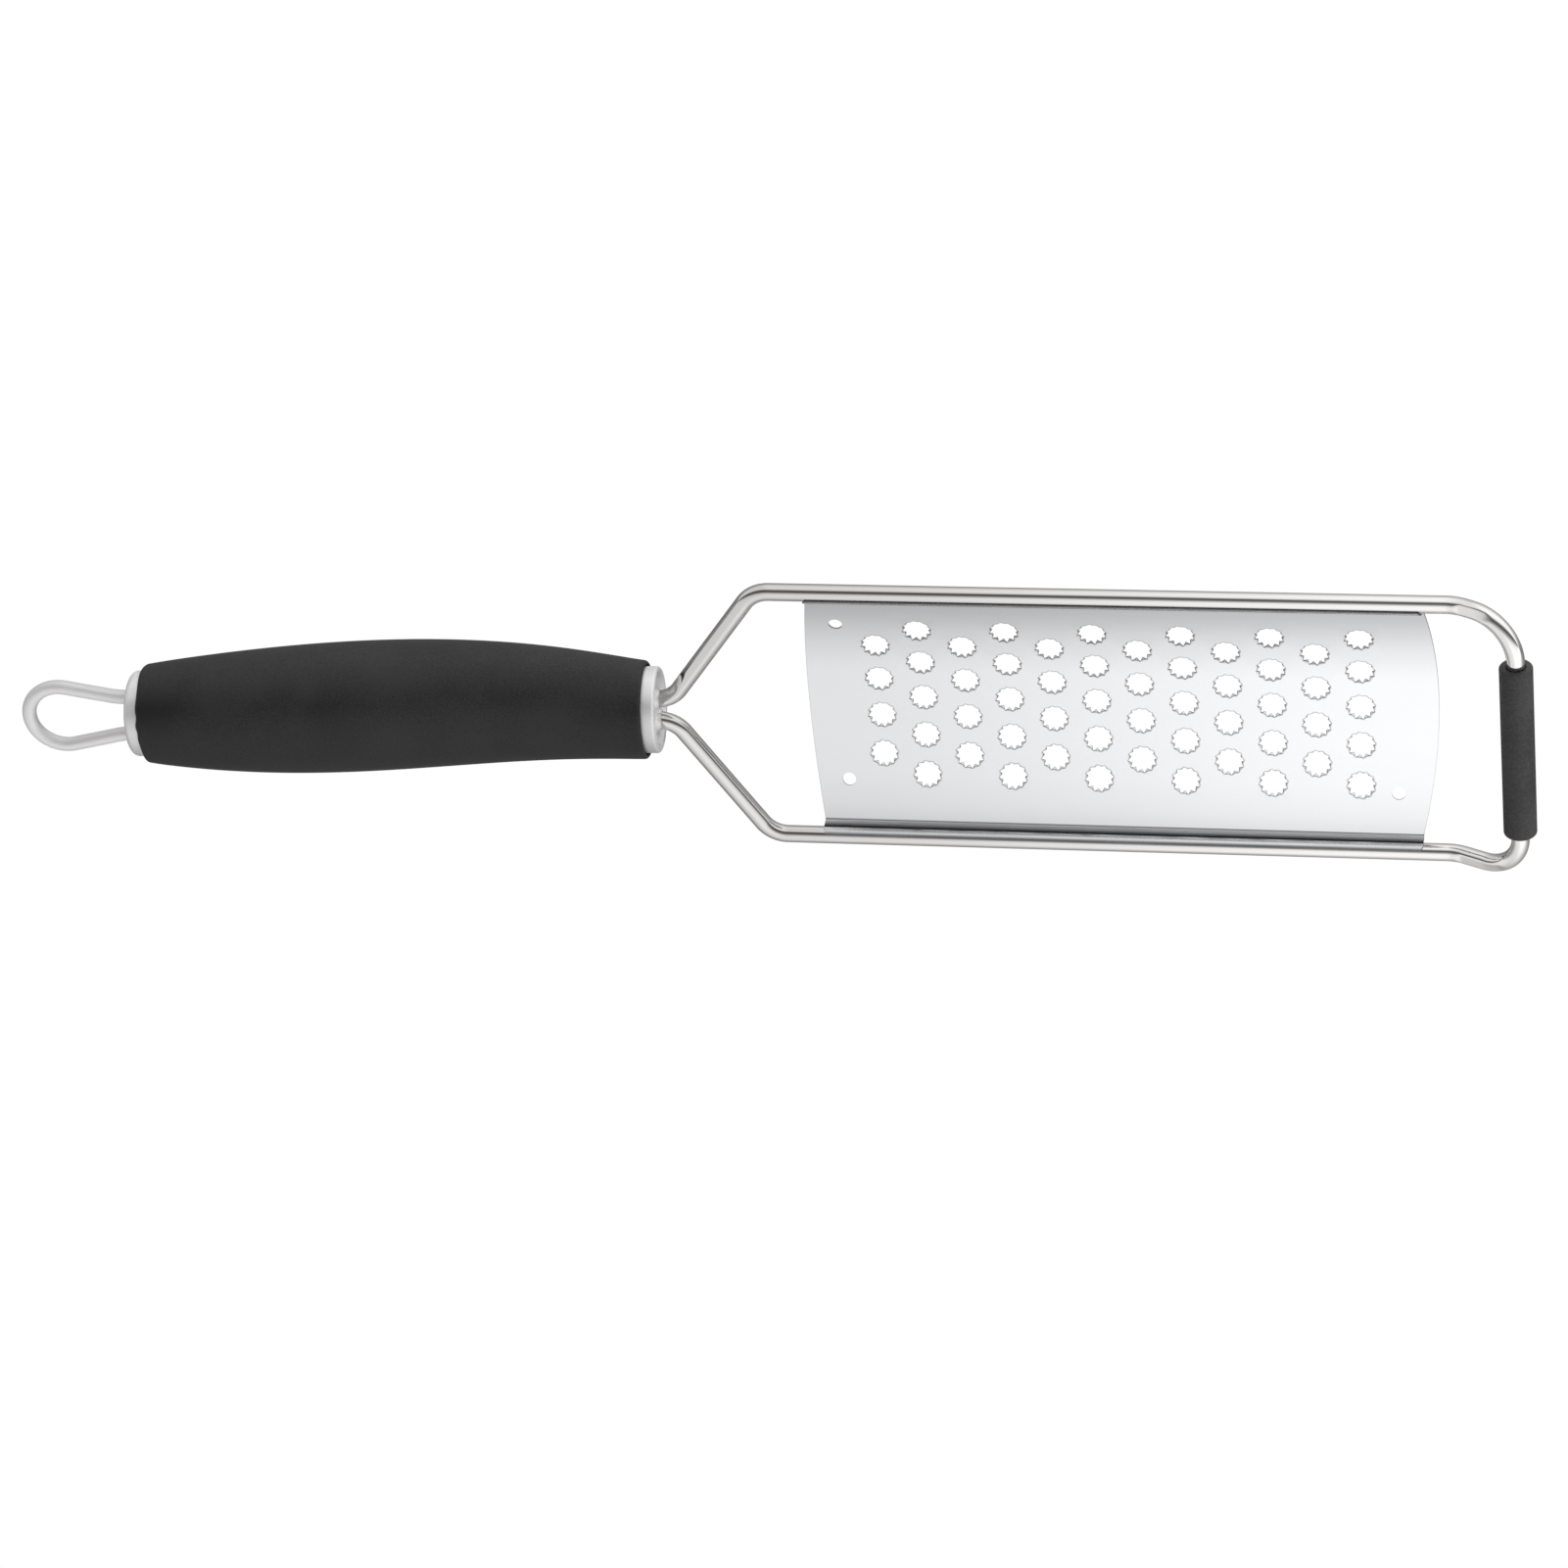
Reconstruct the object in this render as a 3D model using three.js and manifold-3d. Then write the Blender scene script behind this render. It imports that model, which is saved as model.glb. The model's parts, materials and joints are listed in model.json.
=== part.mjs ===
import * as THREE from 'three';
import { mergeVertices } from 'three/addons/utils/BufferGeometryUtils.js';
import Module from 'manifold-3d';

const wasm = await Module();
wasm.setup();

// Sizes in millimetres, angles in degrees
const clearance = 0.3;

// Wire frame
const wireDiameter = 3.75;
const railSpacing = 61.86;
const farWindow = 10.5;
const nearWindow = 11.45;
const footWindow = 6.9;
const splayRun = 19.2;
const tailGap = 1.65;
const tailDepth = 42;
const exitRoom = 2.7;
const exitBend = 6.5;
const railBend = 6.5;
const footReach = 12.9;
const footSkew = 1.7;
const footDrop = 6.25;
const dropBend = 9;
const nearFootBend = 8.4;
const farFootBend = 10;

// Blade
const sheetThickness = 0.5;
const archRadius = 73.7;
const edgeRise = 2.6;
const foldRadius = 1;
const hemWrap = 60;
const hemChamfer = 0.7;
const columnCount = 12;
const columnPitch = 9.25;
const rowPitch = 9.25;
const endMargin = 13.28;
const frontBulge = 2.3;
const footBulge = 3;
const holeDiameter = 6.2;
const toothCount = 12;
const toothLean = 0.5;
const toothHeight = 0.3;
const plainHole = 2.9;
const plainHoleInset = 5.4;
const plainHoleReach = 20.1;

// Foot sleeve
const sleeveWall = 1.3;
const sleeveFarRoom = 0.6;
const sleeveNearRoom = 1.7;
const sleeveChamfer = 0.5;

// Handle
const handleRise = 0.95;
const handleDroop = 3.1;
const handleArch = 3.4;
const archLead = 0.025;
const archSkew = 0.6;
const gripLength = 110.5;
const gripEndWall = 0.95;
const gripSwell = 3.6;
const swellSkew = 1.23;
const swellFullness = 0.85;
const frontRound = 0.5;
const rearRound = 1.4;
const coreDiameter = 16.2;
const ferruleWall = 0.9;
const ferruleRound = 0.7;
const frontShow = 2.7;
const frontDish = 1.2;
const frontSkirt = 3.1;
const rearShow = 2.7;
const rearSkirt = 6;

// Hanging loop
const loopWire = 3.1;
const legSpacing = 9.5;
const legDepth = 22;
const legDrop = 0.7;
const loopReach = 24.7;
const loopWidth = 18;
const flareRoom = 2.6;
const flareBend = 16;

// Sizes that follow
const wireRadius = wireDiameter / 2;
const railHalf = railSpacing / 2;
const bladeHalf = (columnCount - 1) * columnPitch / 2 + endMargin;
const farCornerX = -bladeHalf - farWindow;
const nearCornerX = -bladeHalf - nearWindow;
const tailHalf = (wireDiameter + tailGap) / 2;
const exitCornerX = nearCornerX - splayRun;
const handleX = exitCornerX - exitRoom;
const dropX = bladeHalf + footWindow;
const footX = dropX + footReach;
const footTurn = Math.atan2(footSkew, railSpacing);
const handleLength = frontShow + gripLength + rearShow;
const gripFront = -frontShow;
const gripRear = gripFront - gripLength;
const handleRear = -handleLength;
const coreRadius = coreDiameter / 2;
const gripBore = coreRadius + clearance;
const ferruleBore = coreRadius + clearance;
const ferruleRadius = ferruleBore + ferruleWall;
const ferruleSeat = ferruleRadius + clearance;
const gripEndRadius = ferruleSeat + gripEndWall;
const sleeveBore = wireRadius + clearance;
const sleeveRadius = sleeveBore + sleeveWall;
const legHalf = legSpacing / 2;
const loopRadius = (loopWidth - loopWire) / 2;

// Circle of points for a round section
function roundSection(diameter, sides) {
  const points = [];
  for (let i = 0; i < sides; i += 1) {
    const turn = 2 * Math.PI * i / sides;
    points.push(new THREE.Vector2(Math.cos(turn), Math.sin(turn)).multiplyScalar(diameter / 2));
  }
  return new THREE.Shape(points);
}

// A bent wire runs straight between its corners and round each corner on an arc
class BentWire extends THREE.Curve {
  constructor(stations) {
    super();
    this.stations = stations;
  }

  getUtoTmapping(u) {
    return u;
  }

  getPoint(t) {
    const last = this.stations.length - 1;
    const place = Math.min(Math.max(t, 0), 1) * last;
    const from = Math.min(Math.floor(place), last - 1);
    return this.stations[from].clone().lerp(this.stations[from + 1], place - from);
  }

  getTangent(t) {
    const last = this.stations.length - 1;
    const at = Math.round(t * last);
    const before = this.stations[Math.max(at - 1, 0)];
    const here = this.stations[at];
    const after = this.stations[Math.min(at + 1, last)];
    const tangent = new THREE.Vector3();
    if (at > 0) {
      tangent.add(here.clone().sub(before).normalize());
    }
    if (at < last) {
      tangent.add(after.clone().sub(here).normalize());
    }
    return tangent.normalize();
  }
}

function bendStations(corners, stepAngle) {
  const stations = [corners[0].point.clone()];
  for (let i = 1; i < corners.length - 1; i += 1) {
    const corner = corners[i].point;
    const toPrevious = corners[i - 1].point.clone().sub(corner).normalize();
    const toNext = corners[i + 1].point.clone().sub(corner).normalize();
    const turn = Math.PI - toPrevious.angleTo(toNext);
    const setback = corners[i].bend * Math.tan(turn / 2);
    const middle = toPrevious.clone().add(toNext).normalize();
    const centre = corner.clone().addScaledVector(middle, corners[i].bend / Math.cos(turn / 2));
    const start = corner.clone().addScaledVector(toPrevious, setback).sub(centre);
    const axis = toNext.clone().cross(toPrevious).normalize();
    const steps = Math.max(2, Math.ceil(turn / stepAngle));
    for (let k = 0; k <= steps; k += 1) {
      stations.push(start.clone().applyAxisAngle(axis, turn * k / steps).add(centre));
    }
  }
  stations.push(corners[corners.length - 1].point.clone());
  return stations;
}

function wireGeometry(corners, diameter, sides) {
  const stations = bendStations(corners, THREE.MathUtils.degToRad(13));
  return new THREE.ExtrudeGeometry(roundSection(diameter, sides), {
    steps: stations.length - 1,
    extrudePath: new BentWire(stations),
  });
}

// Solids for cutting
function toSolid(geometry) {
  const plain = geometry.clone();
  plain.deleteAttribute('normal');
  plain.deleteAttribute('uv');
  const welded = mergeVertices(plain, 1e-4);
  const mesh = new wasm.Mesh({
    numProp: 3,
    vertProperties: new Float32Array(welded.attributes.position.array),
    triVerts: new Uint32Array(welded.index.array),
  });
  mesh.merge();
  return new wasm.Manifold(mesh);
}

function fromSolid(solid) {
  const mesh = solid.getMesh();
  const geometry = new THREE.BufferGeometry();
  geometry.setAttribute('position', new THREE.BufferAttribute(new Float32Array(mesh.vertProperties), 3));
  geometry.setIndex(new THREE.BufferAttribute(new Uint32Array(mesh.triVerts), 1));
  return geometry;
}

function cutAway(geometry, tools) {
  let solid = toSolid(geometry);
  for (const tool of tools) {
    solid = solid.subtract(toSolid(tool));
  }
  return fromSolid(solid);
}

// Handle axis: x runs back from the front face, and the axis arches toward the working side
function archAt(x) {
  const along = Math.min(Math.max(-x / handleLength, 0), 1);
  const share = Math.min(Math.max((along - archLead) / (1 - archLead), 0), 1);
  return handleArch * Math.sin(Math.PI * share ** archSkew) ** 2;
}

function gripRadius(x) {
  const along = Math.min(Math.max((gripFront - x) / gripLength, 0), 0.9999);
  return gripEndRadius + gripSwell * Math.sin(Math.PI * along ** swellSkew) ** swellFullness;
}

const handle = new THREE.Group();
handle.position.set(handleX, 0, handleRise);
handle.rotation.y = -THREE.MathUtils.degToRad(handleDroop);
handle.updateMatrix();

function handlePoint(x, y, z) {
  return new THREE.Vector3(x, y, z).applyMatrix4(handle.matrix);
}

// Turned pieces are drawn as radius against place along x, and follow the arched axis
function turned(profile, segments) {
  const outline = profile.map(([radius, x]) => new THREE.Vector2(radius, x));
  const geometry = new THREE.LatheGeometry(outline, segments);
  geometry.rotateZ(-Math.PI / 2);
  const position = geometry.attributes.position;
  for (let i = 0; i < position.count; i += 1) {
    position.setZ(i, position.getZ(i) + archAt(position.getX(i)));
  }
  return geometry;
}

function alongX(diameter, from, to, y, z) {
  const geometry = new THREE.CylinderGeometry(diameter / 2, diameter / 2, to - from, 16);
  geometry.rotateZ(Math.PI / 2);
  geometry.translate((from + to) / 2, y, z);
  return geometry;
}

function roundCorner(profile, radius, x, size, fromTurn, toTurn) {
  for (let k = 0; k <= 4; k += 1) {
    const turn = THREE.MathUtils.degToRad(fromTurn + (toTurn - fromTurn) * k / 4);
    profile.push([radius + size * Math.sin(turn), x + size * Math.cos(turn)]);
  }
}

// Frame wire
function frameWire() {
  const side = (sign, cornerX, footBend) => [
    { point: handlePoint(-tailDepth, sign * tailHalf, 0) },
    { point: handlePoint(exitRoom, sign * tailHalf, 0), bend: exitBend },
    { point: new THREE.Vector3(cornerX, sign * railHalf, 0), bend: railBend },
    { point: new THREE.Vector3(dropX, sign * railHalf, 0), bend: dropBend },
    { point: new THREE.Vector3(footX + sign * footSkew / 2, sign * railHalf, -footDrop), bend: footBend },
  ];
  const corners = [...side(-1, farCornerX, farFootBend), ...side(1, nearCornerX, nearFootBend).reverse()];
  return wireGeometry(corners, wireDiameter, 12);
}

// Blade section: arch, fold, wall beside the wire, hem round the wire's inner half
const hemRadius = wireRadius + clearance + sheetThickness / 2;
const wallY = railHalf - hemRadius;
const edgeAngle = Math.asin((wallY - foldRadius) / (archRadius - foldRadius));
const crownZ = edgeRise + archRadius * (1 - Math.cos(edgeAngle));

function archStation(reach) {
  const turn = reach / archRadius;
  return {
    y: archRadius * Math.sin(turn),
    z: crownZ - archRadius * (1 - Math.cos(turn)),
    tilt: turn,
    trim: 0,
  };
}

function hemStations(sign) {
  const stations = [];
  const edge = archStation(archRadius * edgeAngle);
  const foldY = edge.y - foldRadius * Math.sin(edgeAngle);
  const foldZ = edge.z - foldRadius * Math.cos(edgeAngle);
  for (let k = 1; k <= 3; k += 1) {
    const tilt = edgeAngle + (Math.PI / 2 - edgeAngle) * k / 3;
    const y = foldY + foldRadius * Math.sin(tilt);
    const z = foldZ + foldRadius * Math.cos(tilt);
    stations.push({ y: sign * y, z, tilt: sign * tilt, trim: 0 });
  }
  for (let k = 0; k <= 3; k += 1) {
    const wrap = THREE.MathUtils.degToRad(hemWrap) * k / 3;
    const y = railHalf - hemRadius * Math.cos(wrap);
    const z = -hemRadius * Math.sin(wrap);
    stations.push({ y: sign * y, z, tilt: sign * (Math.PI / 2 - wrap), trim: hemChamfer * k / 3 });
  }
  return stations;
}

function bladeSheet() {
  const positions = [];
  const triangles = [];
  const known = new Map();

  function corner(x, station, height) {
    const y = station.y + Math.sin(station.tilt) * height;
    const z = station.z + Math.cos(station.tilt) * height;
    const key = [x, y, z].map((value) => Math.round(value * 1e5)).join(' ');
    if (!known.has(key)) {
      known.set(key, positions.length / 3);
      positions.push(x, y, z);
    }
    return known.get(key);
  }

  const top = ([x, station]) => corner(x, station, sheetThickness / 2);
  const under = ([x, station]) => corner(x, station, -sheetThickness / 2);

  function skin(a, b, c) {
    triangles.push(top(a), top(b), top(c));
    triangles.push(under(a), under(c), under(b));
  }

  function panel(a, b, c, d) {
    skin(a, b, c);
    skin(a, c, d);
  }

  function rim(a, b) {
    triangles.push(under(a), under(b), top(b));
    triangles.push(under(a), top(b), top(a));
  }

  const archReach = archRadius * edgeAngle;
  const rows = [-archReach];
  for (let half = -5; half <= 5; half += 1) {
    rows.push(half * rowPitch / 2);
  }
  rows.push(archReach);
  const section = [
    ...hemStations(-1).reverse(),
    ...rows.map(archStation),
    ...hemStations(1),
  ];
  const firstRow = hemStations(-1).length;
  const lastRow = firstRow + rows.length - 1;

  function endX(sign, station) {
    const share = Math.min(Math.abs(station.tilt) / edgeAngle, 1);
    const bulge = sign < 0 ? frontBulge : footBulge;
    const onHem = Math.abs(station.y) >= section[lastRow].y;
    return sign * (bladeHalf + (onHem ? 0 : bulge * (1 - share * share)) - station.trim);
  }

  const lines = [];
  for (let column = 0; column <= columnCount; column += 1) {
    lines.push((column - columnCount / 2) * columnPitch);
  }

  // Plain end margins
  for (let k = 0; k < section.length - 1; k += 1) {
    const low = section[k];
    const high = section[k + 1];
    const first = lines[0];
    const last = lines[columnCount];
    panel([endX(-1, low), low], [first, low], [first, high], [endX(-1, high), high]);
    panel([last, low], [endX(1, low), low], [endX(1, high), high], [last, high]);
    rim([endX(1, low), low], [endX(1, high), high]);
    rim([endX(-1, high), high], [endX(-1, low), low]);
  }

  function starHole(x, reach) {
    const outline = [
      [columnPitch / 2, 0],
      [columnPitch / 2, rowPitch / 2],
      [-columnPitch / 2, rowPitch / 2],
      [-columnPitch / 2, 0],
      [-columnPitch / 2, -rowPitch / 2],
      [columnPitch / 2, -rowPitch / 2],
    ];
    const outer = outline.map(([dx, dy]) => ({
      turn: (Math.atan2(dy, dx) + 2 * Math.PI) % (2 * Math.PI),
      place: [x + dx, archStation(reach + dy)],
    }));
    const ring = [];
    for (let k = 0; k < toothCount; k += 1) {
      const turn = 2 * Math.PI * (k + 0.5) / toothCount;
      const dx = holeDiameter / 2 * Math.cos(turn);
      const dy = holeDiameter / 2 * Math.sin(turn);
      ring.push({ turn, place: [x + dx, archStation(reach + dy)] });
    }
    // The skin between the cell outline and the hole is joined by angle
    let o = 0;
    let r = 0;
    while (o < outer.length || r < ring.length) {
      const nextOuter = o + 1 < outer.length ? outer[o + 1].turn : 2 * Math.PI;
      const nextRing = r + 1 < ring.length ? ring[r + 1].turn : 2 * Math.PI;
      const outerHere = outer[o % outer.length].place;
      const ringHere = ring[r % ring.length].place;
      if (r >= ring.length || (o < outer.length && nextOuter <= nextRing)) {
        skin(outerHere, outer[(o + 1) % outer.length].place, ringHere);
        o += 1;
      } else {
        skin(outerHere, ring[(r + 1) % ring.length].place, ringHere);
        r += 1;
      }
    }
    // One pointed tooth stands between each pair of ring points
    for (let k = 0; k < toothCount; k += 1) {
      const left = ring[k].place;
      const right = ring[(k + 1) % toothCount].place;
      const turn = 2 * Math.PI * (k + 1) / toothCount;
      const tipRadius = holeDiameter / 2 - toothLean;
      const tipX = x + tipRadius * Math.cos(turn);
      const tipStation = archStation(reach + tipRadius * Math.sin(turn));
      const tip = corner(tipX, tipStation, sheetThickness / 2 + toothHeight);
      triangles.push(under(left), tip, under(right));
      triangles.push(top(left), top(right), tip);
      triangles.push(under(left), top(left), tip);
      triangles.push(top(right), under(right), tip);
    }
  }

  for (let column = 0; column < columnCount; column += 1) {
    const left = lines[column];
    const right = lines[column + 1];
    const middle = (left + right) / 2;
    const holes = column % 2 === 0 ? 4 : 5;
    for (let k = 0; k < section.length - 1; k += 1) {
      const onArch = k >= firstRow && k < lastRow;
      const reach = onArch ? Math.abs(rows[k - firstRow] + rows[k - firstRow + 1]) / 2 : Infinity;
      if (reach > holes * rowPitch / 2) {
        panel([left, section[k]], [right, section[k]], [right, section[k + 1]], [left, section[k + 1]]);
      }
    }
    for (let hole = 0; hole < holes; hole += 1) {
      starHole(middle, (hole - (holes - 1) / 2) * rowPitch);
    }
  }

  // Hem edges
  const start = section[0];
  const finish = section[section.length - 1];
  const edgeLines = [endX(-1, start), ...lines, endX(1, start)];
  for (let k = 0; k < edgeLines.length - 1; k += 1) {
    rim([edgeLines[k], start], [edgeLines[k + 1], start]);
    rim([edgeLines[k + 1], finish], [edgeLines[k], finish]);
  }

  const geometry = new THREE.BufferGeometry();
  geometry.setAttribute('position', new THREE.Float32BufferAttribute(positions, 3));
  geometry.setIndex(triangles);
  const holeX = bladeHalf - plainHoleInset;
  const plainHoles = [[-1, -1], [-1, 1], [1, 1]].map(([end, side]) => {
    const station = archStation(side * plainHoleReach);
    const tool = new THREE.CylinderGeometry(plainHole / 2, plainHole / 2, 8 * sheetThickness, 16);
    tool.rotateX(Math.PI / 2 - station.tilt);
    tool.translate(end * holeX, station.y, station.z);
    return tool;
  });
  return cutAway(geometry, plainHoles);
}

// Foot sleeve on the straight stretch of the foot bar
const sleeveFrom = -railHalf + farFootBend + sleeveFarRoom;
const sleeveTo = railHalf - nearFootBend - sleeveNearRoom;

function footSleeve() {
  const profile = [
    [sleeveBore, sleeveFrom],
    [sleeveRadius - sleeveChamfer, sleeveFrom],
    [sleeveRadius, sleeveFrom + sleeveChamfer],
    [sleeveRadius, sleeveTo - sleeveChamfer],
    [sleeveRadius - sleeveChamfer, sleeveTo],
    [sleeveBore, sleeveTo],
    [sleeveBore, sleeveFrom],
  ].map(([radius, y]) => new THREE.Vector2(radius, y));
  const geometry = new THREE.LatheGeometry(profile, 24);
  geometry.rotateZ(-footTurn);
  geometry.translate(footX, 0, -footDrop);
  return geometry;
}

// Grip with a bore for the core and a counterbore for each ferrule skirt
function gripOutline() {
  const front = gripFront - frontRound;
  const rear = gripRear + rearRound;
  const outline = [];
  roundCorner(outline, gripRadius(front) - frontRound, front, frontRound, 0, 90);
  const stations = 22;
  for (let k = 1; k < stations; k += 1) {
    const x = front + (rear - front) * k / stations;
    outline.push([gripRadius(x), x]);
  }
  roundCorner(outline, gripRadius(rear) - rearRound, rear, rearRound, 90, 180);
  return outline;
}

function grip() {
  const frontSeat = gripFront - frontSkirt - clearance;
  const rearSeat = gripRear + rearSkirt + clearance;
  const profile = gripOutline();
  profile.push([ferruleSeat, gripRear], [ferruleSeat, rearSeat], [gripBore, rearSeat]);
  const stations = 12;
  for (let k = 1; k < stations; k += 1) {
    profile.push([gripBore, rearSeat + (frontSeat - rearSeat) * k / stations]);
  }
  profile.push([gripBore, frontSeat], [ferruleSeat, frontSeat], [ferruleSeat, gripFront]);
  profile.push(profile[0]);
  return turned(profile.reverse(), 32);
}

// Core with sockets for the frame tails and the loop legs
const coreFront = -frontDish - ferruleWall - clearance;
const coreRear = handleRear + ferruleWall + clearance;

function handleCore() {
  const profile = [[0, coreRear]];
  const stations = 14;
  for (let k = 0; k <= stations; k += 1) {
    profile.push([coreRadius, coreRear + (coreFront - coreRear) * k / stations]);
  }
  profile.push([0, coreFront]);
  const past = wireDiameter;
  const sockets = [];
  for (const sign of [-1, 1]) {
    const tailBore = wireDiameter + 2 * clearance;
    const legBore = loopWire + 2 * clearance;
    const legEnd = handleRear + legDepth + clearance;
    sockets.push(alongX(tailBore, -tailDepth - clearance, coreFront + past, sign * tailHalf, 0));
    sockets.push(alongX(legBore, coreRear - past, legEnd, sign * legHalf, -legDrop));
  }
  return cutAway(turned(profile, 24), sockets);
}

function frontFerrule() {
  const skirtEnd = gripFront - frontSkirt;
  const profile = [[0, -frontDish - ferruleWall], [ferruleBore * 0.6, -frontDish * 0.8 - ferruleWall]];
  profile.push([ferruleBore, -ferruleWall - ferruleRound]);
  profile.push([ferruleBore, skirtEnd], [ferruleRadius, skirtEnd]);
  roundCorner(profile, ferruleRadius - ferruleRound, -ferruleRound, ferruleRound, 90, 0);
  profile.push([(ferruleRadius - ferruleRound) * 0.6, -frontDish * 0.8], [0, -frontDish]);
  const holes = [-1, 1].map((sign) =>
    alongX(wireDiameter + 2 * clearance, -3 * frontShow, 3 * frontShow, sign * tailHalf, 0));
  return cutAway(turned(profile, 32), holes);
}

function rearFerrule() {
  const skirtEnd = gripRear + rearSkirt;
  const profile = [[0, handleRear]];
  const round = 2 * ferruleRound;
  roundCorner(profile, ferruleRadius - round, handleRear + round, round, 180, 90);
  profile.push([ferruleRadius, skirtEnd], [ferruleBore, skirtEnd]);
  profile.push([ferruleBore, handleRear + ferruleWall], [0, handleRear + ferruleWall]);
  const holes = [-1, 1].map((sign) =>
    alongX(loopWire + 2 * clearance, handleRear - rearShow, handleRear + rearShow, sign * legHalf, -legDrop));
  return cutAway(turned(profile, 32), holes);
}

// Hanging loop: two legs, a slight flare and a round end
function hangingLoop() {
  const flareX = handleRear - flareRoom;
  const endX = handleRear - loopReach + loopWire / 2;
  const centreX = endX + loopRadius;
  const away = Math.hypot(flareX - centreX, legHalf);
  const flare = Math.asin(loopRadius / away) - Math.atan2(legHalf, flareX - centreX);
  const endHalf = legHalf + (flareX - endX) * Math.tan(flare);
  const side = (sign) => [
    { point: new THREE.Vector3(handleRear + legDepth, sign * legHalf, -legDrop) },
    { point: new THREE.Vector3(flareX, sign * legHalf, -legDrop), bend: flareBend },
    { point: new THREE.Vector3(endX, sign * endHalf, -legDrop), bend: loopRadius },
  ];
  return wireGeometry([...side(-1), ...side(1).reverse()], loopWire, 10);
}

// The grater lies on its foot sleeve and on the underside of the grip
function restAngle() {
  let angle = -Infinity;
  for (const [radius, x] of gripOutline()) {
    const low = handlePoint(x, 0, archAt(x) - radius);
    const run = footX - low.x;
    const rise = -footDrop - low.z;
    angle = Math.max(angle, Math.atan2(rise, run) - Math.asin(sleeveRadius / Math.hypot(run, rise)));
  }
  return angle;
}

// Materials
const brightWire = new THREE.MeshStandardMaterial({ color: 0xc9cbcd, metalness: 1, roughness: 0.2 });
const sheetSteel = new THREE.MeshStandardMaterial({ color: 0xd3d5d8, metalness: 1, roughness: 0.35 });
const satinMetal = new THREE.MeshStandardMaterial({ color: 0xc4c5c6, metalness: 1, roughness: 0.45 });
const softGrip = new THREE.MeshStandardMaterial({ color: 0x1b1b1c, metalness: 0, roughness: 0.65 });
const softRubber = new THREE.MeshStandardMaterial({ color: 0x222223, metalness: 0, roughness: 0.75 });
const hiddenPlastic = new THREE.MeshStandardMaterial({ color: 0x4a4a4c, metalness: 0, roughness: 0.6 });

function piece(name, geometry, material) {
  geometry.computeVertexNormals();
  const mesh = new THREE.Mesh(geometry, material.clone());
  mesh.name = name;
  return mesh;
}

handle.add(
  piece('grip', grip(), softGrip),
  piece('handle_core', handleCore(), hiddenPlastic),
  piece('front_ferrule', frontFerrule(), satinMetal),
  piece('rear_ferrule', rearFerrule(), satinMetal),
  piece('hanging_loop', hangingLoop(), brightWire),
);

const resting = new THREE.Group();
resting.rotation.y = restAngle();
resting.add(
  piece('frame_wire', frameWire(), brightWire),
  piece('grater_blade', bladeSheet(), sheetSteel),
  piece('foot_sleeve', footSleeve(), softRubber),
  handle,
);

// The origin is under the middle of the whole grater, on the surface it lies on
const grater = new THREE.Group();
grater.name = 'cheese_grater';
grater.add(resting);
grater.updateMatrixWorld(true);
const whole = new THREE.Box3().setFromObject(grater, true);
const middle = whole.getCenter(new THREE.Vector3());
resting.position.set(-middle.x, -middle.y, -whole.min.z);
grater.updateMatrixWorld(true);

export default grater;
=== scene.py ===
import json
import math

import bmesh
import bpy
from mathutils import Matrix, Vector


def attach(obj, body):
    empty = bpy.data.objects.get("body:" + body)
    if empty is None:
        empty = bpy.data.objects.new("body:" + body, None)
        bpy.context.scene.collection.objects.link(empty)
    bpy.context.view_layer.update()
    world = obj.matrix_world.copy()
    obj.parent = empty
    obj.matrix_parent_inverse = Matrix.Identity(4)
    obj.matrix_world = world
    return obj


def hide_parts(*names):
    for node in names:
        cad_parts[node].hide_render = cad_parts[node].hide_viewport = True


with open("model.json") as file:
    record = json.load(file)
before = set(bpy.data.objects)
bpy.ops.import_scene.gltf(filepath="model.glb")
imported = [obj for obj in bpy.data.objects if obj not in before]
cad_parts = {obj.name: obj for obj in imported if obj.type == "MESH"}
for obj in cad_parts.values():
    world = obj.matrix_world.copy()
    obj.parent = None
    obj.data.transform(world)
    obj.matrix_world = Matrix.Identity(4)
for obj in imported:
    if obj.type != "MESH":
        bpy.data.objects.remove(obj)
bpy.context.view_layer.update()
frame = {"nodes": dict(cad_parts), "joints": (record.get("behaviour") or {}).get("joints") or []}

mm = 0.001
mergeWithin = 1e-7                              # metres
scene = bpy.context.scene
print("frame loaded:", len(frame["nodes"]), "nodes")


# places: the rails' own frame is tilted as the grater lies, and the foot joint gives where it is
wire = {
    "diameter": 3.75, "railSpacing": 61.86, "bladeHalf": 64.155,
    "farWindow": 10.5, "nearWindow": 11.45, "splayRun": 19.2, "tailGap": 1.65, "tailDepth": 42,
    "exitRoom": 2.7, "exitBend": 6.5, "railBend": 6.5,
    "footWindow": 6.9, "footReach": 12.9, "footSkew": 1.7, "footDrop": 6.25,
    "dropBend": 9, "farFootBend": 10, "nearFootBend": 8.4,
    "sides": 72, "bendStep": 2.5, "longestStep": 0.8, "sharpAngle": 30,
    # flats pressed on the bends: what is left of the radius, how they ease, and where they lie
    "flatKeep": 0.82, "flatEase": 2.2, "flatSoft": 0.05, "flatDull": 1.5,
    "farFlat": (-0.5, 9.5), "farFacing": (0.15, -0.12, -1),
    "nearFlat": (-12.5, 0.5), "nearFacing": (0.15, 0.1, -1),
}
handle = {"rise": 0.95, "droop": 3.1, "arch": 3.4, "archLead": 0.025, "archSkew": 0.6,
          "gripLength": 110.5, "frontShow": 2.7, "rearShow": 2.7}

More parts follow.
